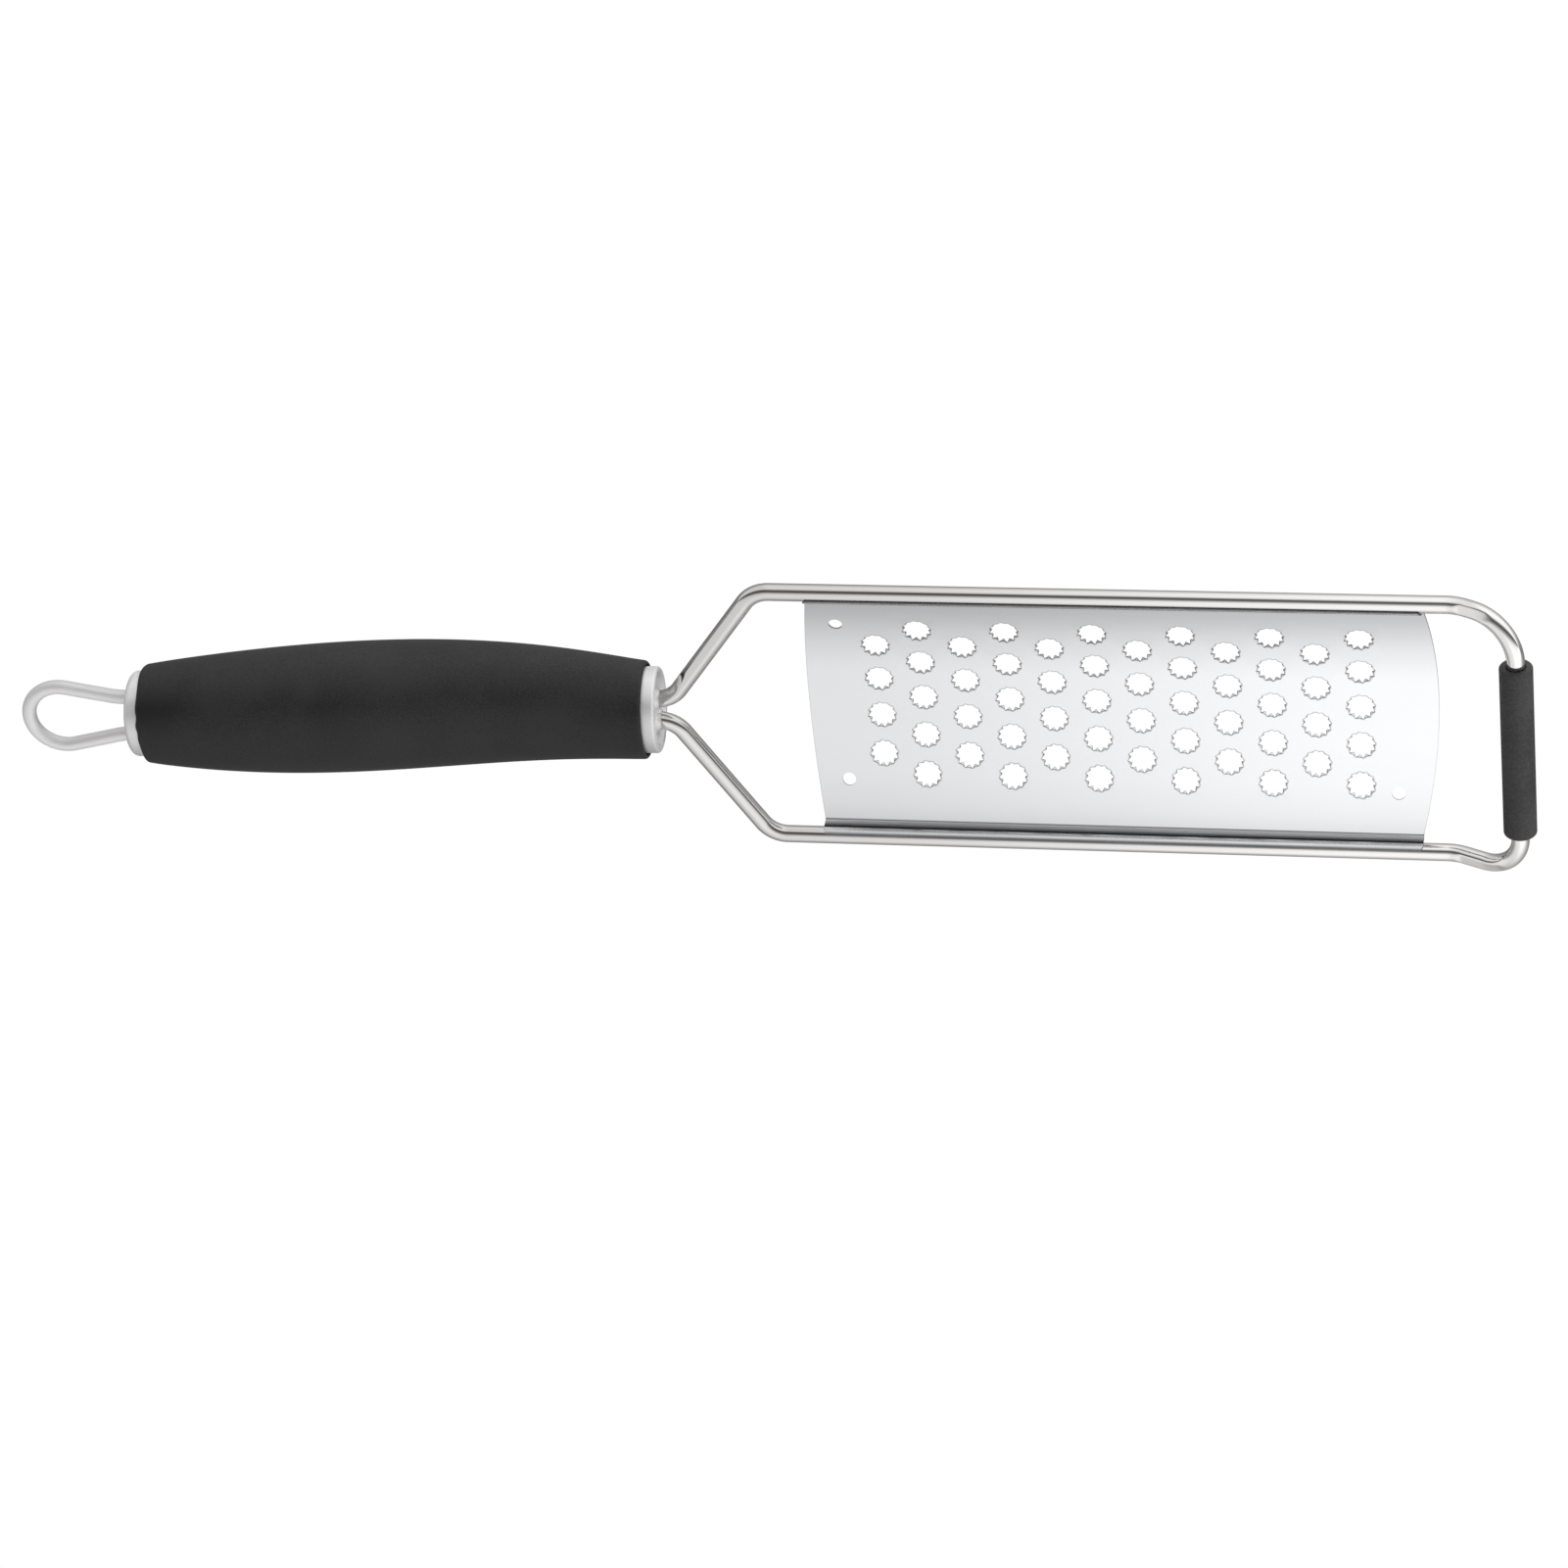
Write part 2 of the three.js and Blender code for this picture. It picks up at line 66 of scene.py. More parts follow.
wireRadius = wire["diameter"] / 2
railHalf = wire["railSpacing"] / 2
tailHalf = (wire["diameter"] + wire["tailGap"]) / 2
farCornerX = -wire["bladeHalf"] - wire["farWindow"]
nearCornerX = -wire["bladeHalf"] - wire["nearWindow"]
exitCornerX = nearCornerX - wire["splayRun"]
handleX = exitCornerX - wire["exitRoom"]
dropX = wire["bladeHalf"] + wire["footWindow"]
footX = dropX + wire["footReach"]
handleLength = handle["frontShow"] + handle["gripLength"] + handle["rearShow"]

footJoint = frame["joints"][0]
barAxis = Vector(footJoint["axis"]).normalized()
restTurn = Matrix.Rotation(math.atan2(-barAxis.z, barAxis.x), 3, "Y")
handleTurn = restTurn @ Matrix.Rotation(-math.radians(handle["droop"]), 3, "Y")
railOrigin = Vector(footJoint["pos_m"]) - restTurn @ Vector((footX, 0, -wire["footDrop"])) * mm


def onRails(x, y, z):
    return railOrigin + restTurn @ Vector((x, y, z)) * mm


handleOrigin = onRails(handleX, 0, handle["rise"])


def onHandle(x, y, z):
    return handleOrigin + handleTurn @ Vector((x, y, z)) * mm


def archAt(x):                                  # the handle's axis bows toward the working side
    along = min(max(-x / handleLength, 0), 1)
    share = min(max((along - handle["archLead"]) / (1 - handle["archLead"]), 0), 1)
    return handle["arch"] * math.sin(math.pi * share ** handle["archSkew"]) ** 2


# mesh helpers
def finishMesh(name, bm, sharpAngle, material):
    bmesh.ops.remove_doubles(bm, verts=bm.verts, dist=mergeWithin)
    bmesh.ops.recalc_face_normals(bm, faces=bm.faces)
    mesh = bpy.data.meshes.new(name)
    bm.to_mesh(mesh)
    bm.free()
    mesh.shade_smooth()
    mesh.set_sharp_from_angle(angle=math.radians(sharpAngle))
    piece = bpy.data.objects.new(name, mesh)
    scene.collection.objects.link(piece)
    mesh.materials.append(material)
    weighted = piece.modifiers.new("evenNormals", "WEIGHTED_NORMAL")
    weighted.keep_sharp = True
    print("made", name, len(mesh.polygons), "faces")
    return piece


def bendRoute(corners, stepAngle):              # straight runs with an arc at each corner
    route = [corners[0][0].copy()]
    for i in range(1, len(corners) - 1):
        corner, bend = corners[i]
        toPrevious = (corners[i - 1][0] - corner).normalized()
        toNext = (corners[i + 1][0] - corner).normalized()
        turn = math.pi - toPrevious.angle(toNext)
        bend = bend * mm
        setback = bend * math.tan(turn / 2)
        centre = corner + (toPrevious + toNext).normalized() * (bend / math.cos(turn / 2))
        start = corner + toPrevious * setback - centre
        axis = toNext.cross(toPrevious).normalized()
        steps = max(3, math.ceil(turn / stepAngle))
        for k in range(steps + 1):
            route.append(centre + Matrix.Rotation(turn * k / steps, 3, axis) @ start)
    route.append(corners[-1][0].copy())
    return route


def fillRoute(route, longest):                  # short steps on the straight runs as well
    filled = [route[0]]
    for a, b in zip(route, route[1:]):
        if (b - a).length < 10 * mergeWithin:
            continue
        steps = max(1, math.ceil((b - a).length / longest))
        filled += [a.lerp(b, k / steps) for k in range(1, steps + 1)]
    return filled


def wireRoute(corners):
    route = bendRoute(corners, math.radians(wire["bendStep"]))
    return fillRoute(route, wire["longestStep"] * mm)


def sweepWire(route, radius, sides, flats=()):
    bm = bmesh.new()
    uvs = bm.loops.layers.uv.new("along")
    pressed = bm.verts.layers.float.new("pressed")
    tangents = []
    for i in range(len(route)):
        before = route[i] - route[max(i - 1, 0)]
        after = route[min(i + 1, len(route) - 1)] - route[i]
        tangents.append((before.normalized() + after.normalized()).normalized())
    side = tangents[0].orthogonal().normalized()
    travelled = 0
    rings = []
    runs = []
    for i, (point, tangent) in enumerate(zip(route, tangents)):
        if i > 0:
            travelled += (point - route[i - 1]).length
            side = tangents[i - 1].rotation_difference(tangent) @ side
        side = (side - tangent * side.dot(tangent)).normalized()
        up = tangent.cross(side)
        ring = []
        for k in range(sides):
            turn = 2 * math.pi * k / sides
            away = side * (radius * math.cos(turn)) + up * (radius * math.sin(turn))
            dent = 0
            for flat in flats:
                ease = min(travelled - flat["start"], flat["end"] - travelled) / flat["ease"]
                ease = min(max(ease, 0), 1)
                facing = (flat["facing"] - tangent * flat["facing"].dot(tangent)).normalized()
                limit = radius * (1 - (1 - flat["keep"]) * ease * ease * (3 - 2 * ease))
                over = away.dot(facing) - limit
                soft = flat["soft"] * radius
                press = (over + math.hypot(over, soft)) / 2 * ease      # slightly rounded rim
                away = away - facing * press
                if over > 0:
                    dent = max(dent, min(1, ease * flat["dull"]))
            vert = bm.verts.new(point + away)
            vert[pressed] = dent
            ring.append(vert)
        rings.append(ring)
        runs.append(travelled)
    for i in range(len(rings) - 1):
        for k in range(sides):
            n = (k + 1) % sides
            face = bm.faces.new((rings[i][k], rings[i][n], rings[i + 1][n], rings[i + 1][k]))
            for loop, (u, v) in zip(face.loops, ((i, k), (i, k + 1), (i + 1, k + 1), (i + 1, k))):
                loop[uvs].uv = (runs[u], v / sides)
    for ring in (rings[0], rings[-1]):
        bm.faces.new(ring)
    return bm


def turnProfile(profile, segments, place):      # profile of (radius, along)
    bm = bmesh.new()
    uvs = bm.loops.layers.uv.new("along")
    rings = []
    for radius, along in profile:
        ring = []
        for k in range(segments):
            turn = 2 * math.pi * k / segments
            ring.append(bm.verts.new(place(along, radius * math.cos(turn), radius * math.sin(turn))))
            if radius == 0:
                break
        rings.append(ring)
    for i in range(len(rings) - 1):
        for k in range(segments):
            n = (k + 1) % segments
            a, b = rings[i], rings[i + 1]
            corners = [a[k % len(a)], a[n % len(a)], b[n % len(b)], b[k % len(b)]]
            places = [(i, k), (i, k + 1), (i + 1, k + 1), (i + 1, k)]
            keep = [j for j in range(4) if corners[j] not in corners[:j]]
            face = bm.faces.new([corners[j] for j in keep])
            for loop, j in zip(face.loops, keep):
                loop[uvs].uv = (places[j][1] / segments, profile[places[j][0]][1] * mm)
    return bm


def arcPoints(radius, along, size, fromTurn, toTurn, steps):
    points = []
    for k in range(steps + 1):
        turn = math.radians(fromTurn + (toTurn - fromTurn) * k / steps)
        points.append((radius + size * math.sin(turn), along + size * math.cos(turn)))
    return points


def loftSolid(rings):                           # closed solid through rings of equal count
    bm = bmesh.new()
    verts = [[bm.verts.new(p) for p in ring] for ring in rings]
    for a, b in zip(verts, verts[1:]):
        for k in range(len(a)):
            n = (k + 1) % len(a)
            bm.faces.new((a[k], a[n], b[n], b[k]))
    bm.faces.new(verts[0][::-1])
    bm.faces.new(verts[-1])
    return bm


def combine(piece, bm, operation, slot=0):      # slot: material slot of the new faces
    bmesh.ops.recalc_face_normals(bm, faces=bm.faces)
    for face in bm.faces:
        face.material_index = slot
    mesh = bpy.data.meshes.new("tool")
    bm.to_mesh(mesh)
    bm.free()
    for material in piece.data.materials:
        mesh.materials.append(material)
    tool = bpy.data.objects.new("tool", mesh)
    scene.collection.objects.link(tool)
    step = piece.modifiers.new("step", "BOOLEAN")
    step.object = tool
    step.operation = operation
    step.solver = "EXACT"
    bpy.context.view_layer.objects.active = piece
    bpy.ops.object.modifier_move_to_index(modifier=step.name, index=0)
    bpy.ops.object.modifier_apply(modifier=step.name)
    bpy.data.objects.remove(tool)


# shader helpers
def newGroup(name, inputs, outputs):
    group = bpy.data.node_groups.new(name, "ShaderNodeTree")
    for label, kind, value in inputs:
        socket = group.interface.new_socket(label, in_out="INPUT", socket_type=kind)
        if value is not None:
            socket.default_value = value
    for label, kind in outputs:
        group.interface.new_socket(label, in_out="OUTPUT", socket_type=kind)
    return group, group.nodes.new("NodeGroupInput"), group.nodes.new("NodeGroupOutput")


def addNode(tree, kind, **settings):
    node = tree.nodes.new(kind)
    for name, value in settings.items():
        setattr(node, name, value)
    return node


def mathNode(tree, operation, first, second=None, clamp=False):
    node = addNode(tree, "ShaderNodeMath", operation=operation, use_clamp=clamp)
    for socket, value in zip(node.inputs, (first, second)):
        if value is None:
            continue
        if isinstance(value, (int, float)):
            socket.default_value = value
        else:
            tree.links.new(value, socket)
    return node.outputs[0]


def rangeNode(tree, value, fromLow, fromHigh, toLow, toHigh):
    node = addNode(tree, "ShaderNodeMapRange", interpolation_type="SMOOTHSTEP")
    tree.links.new(value, node.inputs["Value"])
    for socket, number in zip(node.inputs[1:5], (fromLow, fromHigh, toLow, toHigh)):
        socket.default_value = number
    return node.outputs["Result"]


def spreadNode(tree, value, span, middle, spread):      # noise over a span varies a middle value
    return rangeNode(tree, value, *span, middle - spread, middle + spread)


def mixColour(tree, factor, first, second, blend="MIX"):
    node = addNode(tree, "ShaderNodeMix", data_type="RGBA", blend_type=blend)
    tree.links.new(factor, node.inputs["Factor"])
    for socket, value in ((node.inputs[6], first), (node.inputs[7], second)):
        if isinstance(value, tuple):
            socket.default_value = (*value, 1)
        else:
            tree.links.new(value, socket)
    return node.outputs[2]


def noiseNode(tree, vector, scale, detail=3, roughness=0.55):
    node = addNode(tree, "ShaderNodeTexNoise")
    tree.links.new(vector, node.inputs["Vector"])
    node.inputs["Scale"].default_value = scale
    node.inputs["Detail"].default_value = detail
    node.inputs["Roughness"].default_value = roughness
    return node.outputs["Fac"]


def makeBrushLines():                           # drawn or brushed lines, and cloudy patches
    group, given, out = newGroup(
        "brushLines",
        [("Vector", "NodeSocketVector", None), ("Stretch", "NodeSocketVector", (1, 1, 1)),
         ("Patch Scale", "NodeSocketFloat", 60)],
        [("Lines", "NodeSocketFloat"), ("Patches", "NodeSocketFloat")])
    stretched = addNode(group, "ShaderNodeVectorMath", operation="MULTIPLY")
    group.links.new(given.outputs["Vector"], stretched.inputs[0])
    group.links.new(given.outputs["Stretch"], stretched.inputs[1])
    fine = noiseNode(group, stretched.outputs[0], scale=1, detail=4, roughness=0.6)
    patches = addNode(group, "ShaderNodeTexNoise")
    group.links.new(given.outputs["Vector"], patches.inputs["Vector"])
    group.links.new(given.outputs["Patch Scale"], patches.inputs["Scale"])
    group.links.new(fine, out.inputs["Lines"])
    group.links.new(patches.outputs["Fac"], out.inputs["Patches"])
    return group


def makeSoftGrain():                            # the fine tooth of soft-touch rubber
    group, given, out = newGroup(
        "softGrain",
        [("Vector", "NodeSocketVector", None), ("Grain Scale", "NodeSocketFloat", 4000),
         ("Patch Scale", "NodeSocketFloat", 70)],
        [("Grain", "NodeSocketFloat"), ("Patches", "NodeSocketFloat")])
    grain = addNode(group, "ShaderNodeTexNoise")
    grain.inputs["Detail"].default_value = 3
    patches = addNode(group, "ShaderNodeTexNoise")
    for node, scale in ((grain, "Grain Scale"), (patches, "Patch Scale")):
        group.links.new(given.outputs["Vector"], node.inputs["Vector"])
        group.links.new(given.outputs[scale], node.inputs["Scale"])
    group.links.new(grain.outputs["Fac"], out.inputs["Grain"])
    group.links.new(patches.outputs["Fac"], out.inputs["Patches"])
    return group


def makeDustSpecks():                           # a few light specks, scattered cell by cell
    group, given, out = newGroup(
        "dustSpecks",
        [("Vector", "NodeSocketVector", None), ("Cell Scale", "NodeSocketFloat", 160),
         ("Size", "NodeSocketFloat", 0.03), ("Share", "NodeSocketFloat", 0.08)],
        [("Mask", "NodeSocketFloat")])
    cells = addNode(group, "ShaderNodeTexVoronoi")
    group.links.new(given.outputs["Vector"], cells.inputs["Vector"])
    group.links.new(given.outputs["Cell Scale"], cells.inputs["Scale"])
    parts = addNode(group, "ShaderNodeSeparateColor")
    group.links.new(cells.outputs["Color"], parts.inputs[0])
    chosen = mathNode(group, "LESS_THAN", parts.outputs[0], given.outputs["Share"])
    reach = mathNode(group, "MULTIPLY", parts.outputs[1], given.outputs["Size"])
    near = mathNode(group, "LESS_THAN", cells.outputs["Distance"], reach)
    group.links.new(mathNode(group, "MULTIPLY", chosen, near), out.inputs["Mask"])
    return group


brushLines = makeBrushLines()
softGrain = makeSoftGrain()
dustSpecks = makeDustSpecks()
patchSpan = (0.3, 0.7)                          # the part of each noise that is used
lineSpan = (0.25, 0.75)
cloudSpan = (0.75, 1.25)
lineStrength = 0.5


def newMaterial(name, colour, roughness, metallic):
    material = bpy.data.materials.new(name)
    material.use_nodes = True
    shader = material.node_tree.nodes["Principled BSDF"]
    shader.inputs["Base Color"].default_value = (*colour, 1)
    shader.inputs["Roughness"].default_value = roughness
    shader.inputs["Metallic"].default_value = metallic
    return material, material.node_tree, shader


def useGroup(tree, group, vector, **values):
    node = addNode(tree, "ShaderNodeGroup", node_tree=group)
    tree.links.new(vector, node.inputs["Vector"])
    for name, value in values.items():
        node.inputs[name.replace("_", " ")].default_value = value
    return node


def addBump(tree, shader, height, distance, strength):
    bump = addNode(tree, "ShaderNodeBump")
    bump.inputs["Distance"].default_value = distance
    bump.inputs["Strength"].default_value = strength
    tree.links.new(height, bump.inputs["Height"])
    tree.links.new(bump.outputs["Normal"], shader.inputs["Normal"])


def steelMaterial(name, look):
    metallic = look.get("metallic", 1)
    material, tree, shader = newMaterial(name, look["colour"], look["roughness"], metallic)
    spot = addNode(tree, "ShaderNodeTexCoord").outputs[look["coordinates"]]
    lines = useGroup(tree, brushLines, spot, Stretch=look["stretch"], Patch_Scale=look["patchScale"])
    shade = mixColour(tree, lines.outputs["Lines"], look["dark"], look["colour"])
    patchy = spreadNode(tree, lines.outputs["Patches"], patchSpan, 0, look["patchRoughness"])
    rough = spreadNode(tree, lines.outputs["Lines"], lineSpan, look["roughness"], look["lineRoughness"])
    rough = mathNode(tree, "ADD", rough, patchy, True)
    if look.get("fade"):                        # painted shade: darker toward the handle
        parts = addNode(tree, "ShaderNodeSeparateXYZ")
        tree.links.new(addNode(tree, "ShaderNodeTexCoord").outputs["Object"], parts.inputs[0])
        ends = [onRails(end * wire["bladeHalf"], 0, 0).x for end in (-1, 1)]
        fade = rangeNode(tree, parts.outputs["X"], *ends, 1, 0)
        shade = mixColour(tree, fade, shade, look["fade"], "MULTIPLY")
    if look.get("pressed"):
        dull = addNode(tree, "ShaderNodeAttribute", attribute_name="pressed")
        extra = mathNode(tree, "MULTIPLY", dull.outputs["Fac"], look["pressed"])
        rough = mathNode(tree, "ADD", rough, extra, True)
    # painted shade: a per-vertex attribute mixes the sheet's colour toward near black where its
    # underside should look shaded
    if look.get("paintedShade"):
        paintedShade = addNode(tree, "ShaderNodeAttribute", attribute_name="paintedShade")
        shade = mixColour(tree, paintedShade.outputs["Fac"], shade, look["paintedShade"])
        extra = mathNode(tree, "MULTIPLY", paintedShade.outputs["Fac"], look["paintedShadeRoughness"])
        rough = mathNode(tree, "ADD", rough, extra, True)
    tree.links.new(shade, shader.inputs["Base Color"])
    tree.links.new(rough, shader.inputs["Roughness"])
    addBump(tree, shader, lines.outputs["Lines"], look["bump"], lineStrength)
    return material


def rubberMaterial(name, look):
    material, tree, shader = newMaterial(name, look["colour"], look["roughness"], 0)
    shader.inputs["Specular IOR Level"].default_value = look["gloss"]
    spot = addNode(tree, "ShaderNodeTexCoord").outputs["Object"]
    grain = useGroup(tree, softGrain, spot, Grain_Scale=look["grainScale"],
                     Patch_Scale=look["patchScale"])
    specks = useGroup(tree, dustSpecks, spot, Cell_Scale=look["speckCells"], Size=look["speckSize"],
                      Share=look["speckShare"])
    cloud = mathNode(tree, "ADD", grain.outputs["Patches"], grain.outputs["Grain"])
    shade = mixColour(tree, rangeNode(tree, cloud, *cloudSpan, 0, 1), look["dark"], look["colour"])
    dusted = mixColour(tree, specks.outputs["Mask"], shade, look["dust"])
    rough = spreadNode(tree, grain.outputs["Patches"], patchSpan, look["roughness"],
                       look["patchRoughness"])
    tree.links.new(dusted, shader.inputs["Base Color"])
    tree.links.new(rough, shader.inputs["Roughness"])
    addBump(tree, shader, grain.outputs["Grain"], look["bump"], look["bumpStrength"])
    return material


wireSteel = steelMaterial("wireSteel", {
    "colour": (0.9, 0.882, 0.876), "dark": (0.83, 0.81, 0.8), "roughness": 0.09, "coordinates": "UV",
    "stretch": (45, 60, 1), "patchScale": 40, "patchRoughness": 0.02, "lineRoughness": 0.025,
    # painted shade: fade darkens the wire toward the handle
    "bump": 0.000008, "pressed": 0.22, "fade": (0.78, 0.78, 0.78)})
loopSteel = steelMaterial("loopSteel", {
    "colour": (0.88, 0.87, 0.87), "dark": (0.8, 0.79, 0.79), "roughness": 0.66, "coordinates": "UV",
    "stretch": (120, 50, 1), "patchScale": 90, "patchRoughness": 0.06, "lineRoughness": 0.06,
    "bump": 0.00003})
bladeSteel = steelMaterial("bladeSteel", {
    "colour": (0.905, 0.91, 0.922), "dark": (0.875, 0.88, 0.892), "roughness": 0.11,
    "coordinates": "Object", "stretch": (60, 2600, 600), "patchScale": 45, "patchRoughness": 0.02,
    # painted shade: the near-black tone colour darkens shaded walls, creases, hem, torn edges and cut
    # lines
    "lineRoughness": 0.03, "bump": 0.000002, "paintedShade": (0.04, 0.04, 0.041), "paintedShadeRoughness": 0.9,
    # painted shade: fade darkens the sheet toward the handle
    "fade": (0.85, 0.85, 0.85)})
# painted shade: the cut faces' dark colour stands in for the dark outlines their edge-on shading gives
shadedCutSteel = steelMaterial("shadedCutSteel", {
    "colour": (0.26, 0.26, 0.26), "dark": (0.17, 0.17, 0.17), "roughness": 0.4, "coordinates": "Object",
    "stretch": (900, 900, 900), "patchScale": 300, "patchRoughness": 0.05, "lineRoughness": 0.08,
    "bump": 0.00003})
ferruleMetal = steelMaterial("ferruleMetal", {
    "colour": (0.6, 0.6, 0.6), "dark": (0.52, 0.52, 0.52), "roughness": 0.36, "metallic": 0.5,
    "coordinates": "UV", "stretch": (6, 3000, 1), "patchScale": 30, "patchRoughness": 0.06,
    "lineRoughness": 0.05, "bump": 0.00002})
endCapMetal = steelMaterial("endCapMetal", {
    "colour": (0.74, 0.74, 0.74), "dark": (0.65, 0.65, 0.65), "roughness": 0.48, "metallic": 0.7,
    "coordinates": "UV", "stretch": (14, 900, 1), "patchScale": 30, "patchRoughness": 0.06,
    "lineRoughness": 0.05, "bump": 0.00003})
gripRubber = rubberMaterial("gripRubber", {
    "colour": (0.0165, 0.0165, 0.0168), "dark": (0.009, 0.009, 0.0093), "roughness": 0.5, "gloss": 0.25,
    "grainScale": 2600, "patchScale": 60, "patchRoughness": 0.06, "bump": 0.00004, "bumpStrength": 0.35,
    "speckCells": 150, "speckSize": 0.045, "speckShare": 0.06, "dust": (0.16, 0.16, 0.16)})
sleeveRubber = rubberMaterial("sleeveRubber", {
    "colour": (0.033, 0.033, 0.0335), "dark": (0.018, 0.018, 0.0185), "roughness": 0.6, "gloss": 0.35,
    "grainScale": 1700, "patchScale": 120, "patchRoughness": 0.06, "bump": 0.00008, "bumpStrength": 0.5,
    "speckCells": 260, "speckSize": 0.07, "speckShare": 0.07, "dust": (0.45, 0.45, 0.45)})
corePlastic = rubberMaterial("corePlastic", {
    "colour": (0.29, 0.29, 0.3), "dark": (0.26, 0.26, 0.27), "roughness": 0.5, "gloss": 0.5,
    "grainScale": 2500, "patchScale": 80, "patchRoughness": 0.06, "bump": 0.00004, "bumpStrength": 0.3,
    "speckCells": 150, "speckSize": 0.02, "speckShare": 0.01, "dust": (0.4, 0.4, 0.4)})
print("materials ready")


# frame wire
def frameSide(sign, cornerX, footBend):
    return [
        (onHandle(-wire["tailDepth"], sign * tailHalf, 0), None),
        (onHandle(wire["exitRoom"], sign * tailHalf, 0), wire["exitBend"]),
        (onRails(cornerX, sign * railHalf, 0), wire["railBend"]),
        (onRails(dropX, sign * railHalf, 0), wire["dropBend"]),
        (onRails(footX + sign * wire["footSkew"] / 2, sign * railHalf, -wire["footDrop"]), footBend),
    ]


def runTo(route, place):                        # length along the route to its point nearest a place
    travelled = 0
    best = (1, 0)
    for a, b in zip(route, route[1:]):
        best = min(best, ((a - place).length, travelled))
        travelled += (b - a).length
    return best[1]


def makeFrameWire():
    farSide = frameSide(-1, farCornerX, wire["farFootBend"])
    nearSide = frameSide(1, nearCornerX, wire["nearFootBend"])
    route = wireRoute(farSide + nearSide[::-1])
    flats = []
    for rail, y in (("far", -railHalf), ("near", railHalf)):
        drop = runTo(route, onRails(dropX, y, 0))
        begin, end = wire[rail + "Flat"]
        flats.append({
            "start": drop + begin * mm, "end": drop + end * mm, "facing": Vector(wire[rail + "Facing"]),
            "keep": wire["flatKeep"], "ease": wire["flatEase"] * mm, "soft": wire["flatSoft"],
            "dull": wire["flatDull"]})
    bm = sweepWire(route, wireRadius * mm, wire["sides"], flats)
    piece = finishMesh("frameWire", bm, wire["sharpAngle"], wireSteel)
    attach(piece, "grater")
    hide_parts("frame_wire")


makeFrameWire()


# blade
blade = {
    "thickness": 0.36, "archRadius": 73.7, "edgeRise": 2.6, "foldRadius": 1,
    "hemGap": 0.08, "hemWrap": 60, "hemChamfer": 0.7, "foldSteps": 10, "hemSteps": 20,
    # painted shade on the underside: a dark wall band, a black crease and a darker hem strip
    "wallShade": 0.3, "wallShadeRise": 4, "creaseShade": 1, "creaseShadeTo": 6, "hemShade": 0.17,
    "columns": 12, "holes": (4, 5), "pitch": 9.25, "notchRadius": 3.12, "holeMargin": 0.3,
    "teeth": 12, "toothTurn": 7, "rootFlat": 0.24, "toothBend": 62, "bendRadius": 0.15,
    "toothReach": 0.58, "toothTip": 0.25, "tipWidth": 0.2,
    "toothSteps": 6, "bendSteps": 2, "reachSteps": 4,
    # painted shade: dark lines along the teeth's torn edges and along their roots' drawn lip
    "tornEdgeShade": 0.6, "tornShadeWidth": 0.27, "lipShade": 0.35, "lipShadeWidth": 0.2,
    # painted shade: a dark line along the blade's cut ends
    "edgeShade": 0.4, "edgeShadeWidth": 0.14, "frontBulge": 2.3, "footBulge": 3,
    "halfRowSteps": 4, "sideSteps": 5, "endSteps": 6, "sharpAngle": 32, "cornersPerMetre": 1e8,
    "plainRadius": 1.45, "plainInset": 5.4, "plainReach": 20.1, "plainSides": 36, "plainCut": 3,
}
sheetHalf = blade["thickness"] / 2
hemRadius = wireRadius + blade["hemGap"] + sheetHalf
wallY = railHalf - hemRadius
edgeAngle = math.asin((wallY - blade["foldRadius"]) / (blade["archRadius"] - blade["foldRadius"]))
crownZ = blade["edgeRise"] + blade["archRadius"] * (1 - math.cos(edgeAngle))
archReach = blade["archRadius"] * edgeAngle


def archStation(reach):                         # (y, z, tilt, trim, painted shade) of the sheet's middle
    radius = blade["archRadius"]
    turn = reach / radius
    return (radius * math.sin(turn), crownZ - radius * (1 - math.cos(turn)), turn, 0, 0)


def hemStations(sign):
    stations = []
    edgeY, edgeZ = archStation(archReach)[:2]
    foldY = edgeY - blade["foldRadius"] * math.sin(edgeAngle)
    foldZ = edgeZ - blade["foldRadius"] * math.cos(edgeAngle)
    # painted shade: the fold's wall darkens as it turns up
    for k in range(1, blade["foldSteps"] + 1):
        share = k / blade["foldSteps"]
        tilt = edgeAngle + (math.pi / 2 - edgeAngle) * share
        stations.append((sign * (foldY + blade["foldRadius"] * math.sin(tilt)),
                         foldZ + blade["foldRadius"] * math.cos(tilt), sign * tilt, 0,
                         blade["wallShade"] * min(1, blade["wallShadeRise"] * share)))
    # painted shade: darkest at the crease, lighter along the hem strip
    for k in range(blade["hemSteps"] + 1):
        degrees = blade["hemWrap"] * k / blade["hemSteps"]
        wrap = math.radians(degrees)
        paintedShade = blade["creaseShade"] if degrees <= blade["creaseShadeTo"] else blade["hemShade"]
        trim = blade["hemChamfer"] * (k / blade["hemSteps"]) ** 2
        stations.append((sign * (railHalf - hemRadius * math.cos(wrap)), -hemRadius * math.sin(wrap),
                         sign * (math.pi / 2 - wrap), trim, paintedShade))
    return stations


def sheetPoint(x, station, height):
    y, z, tilt = station[:3]
    return onRails(x, y + math.sin(tilt) * height, z + math.cos(tilt) * height)


def bladeEnd(sign, station):
    share = min(abs(station[2]) / edgeAngle, 1)
    bulge = blade["frontBulge"] if sign < 0 else blade["footBulge"]
    return sign * (wire["bladeHalf"] + bulge * (1 - share * share) - station[3])


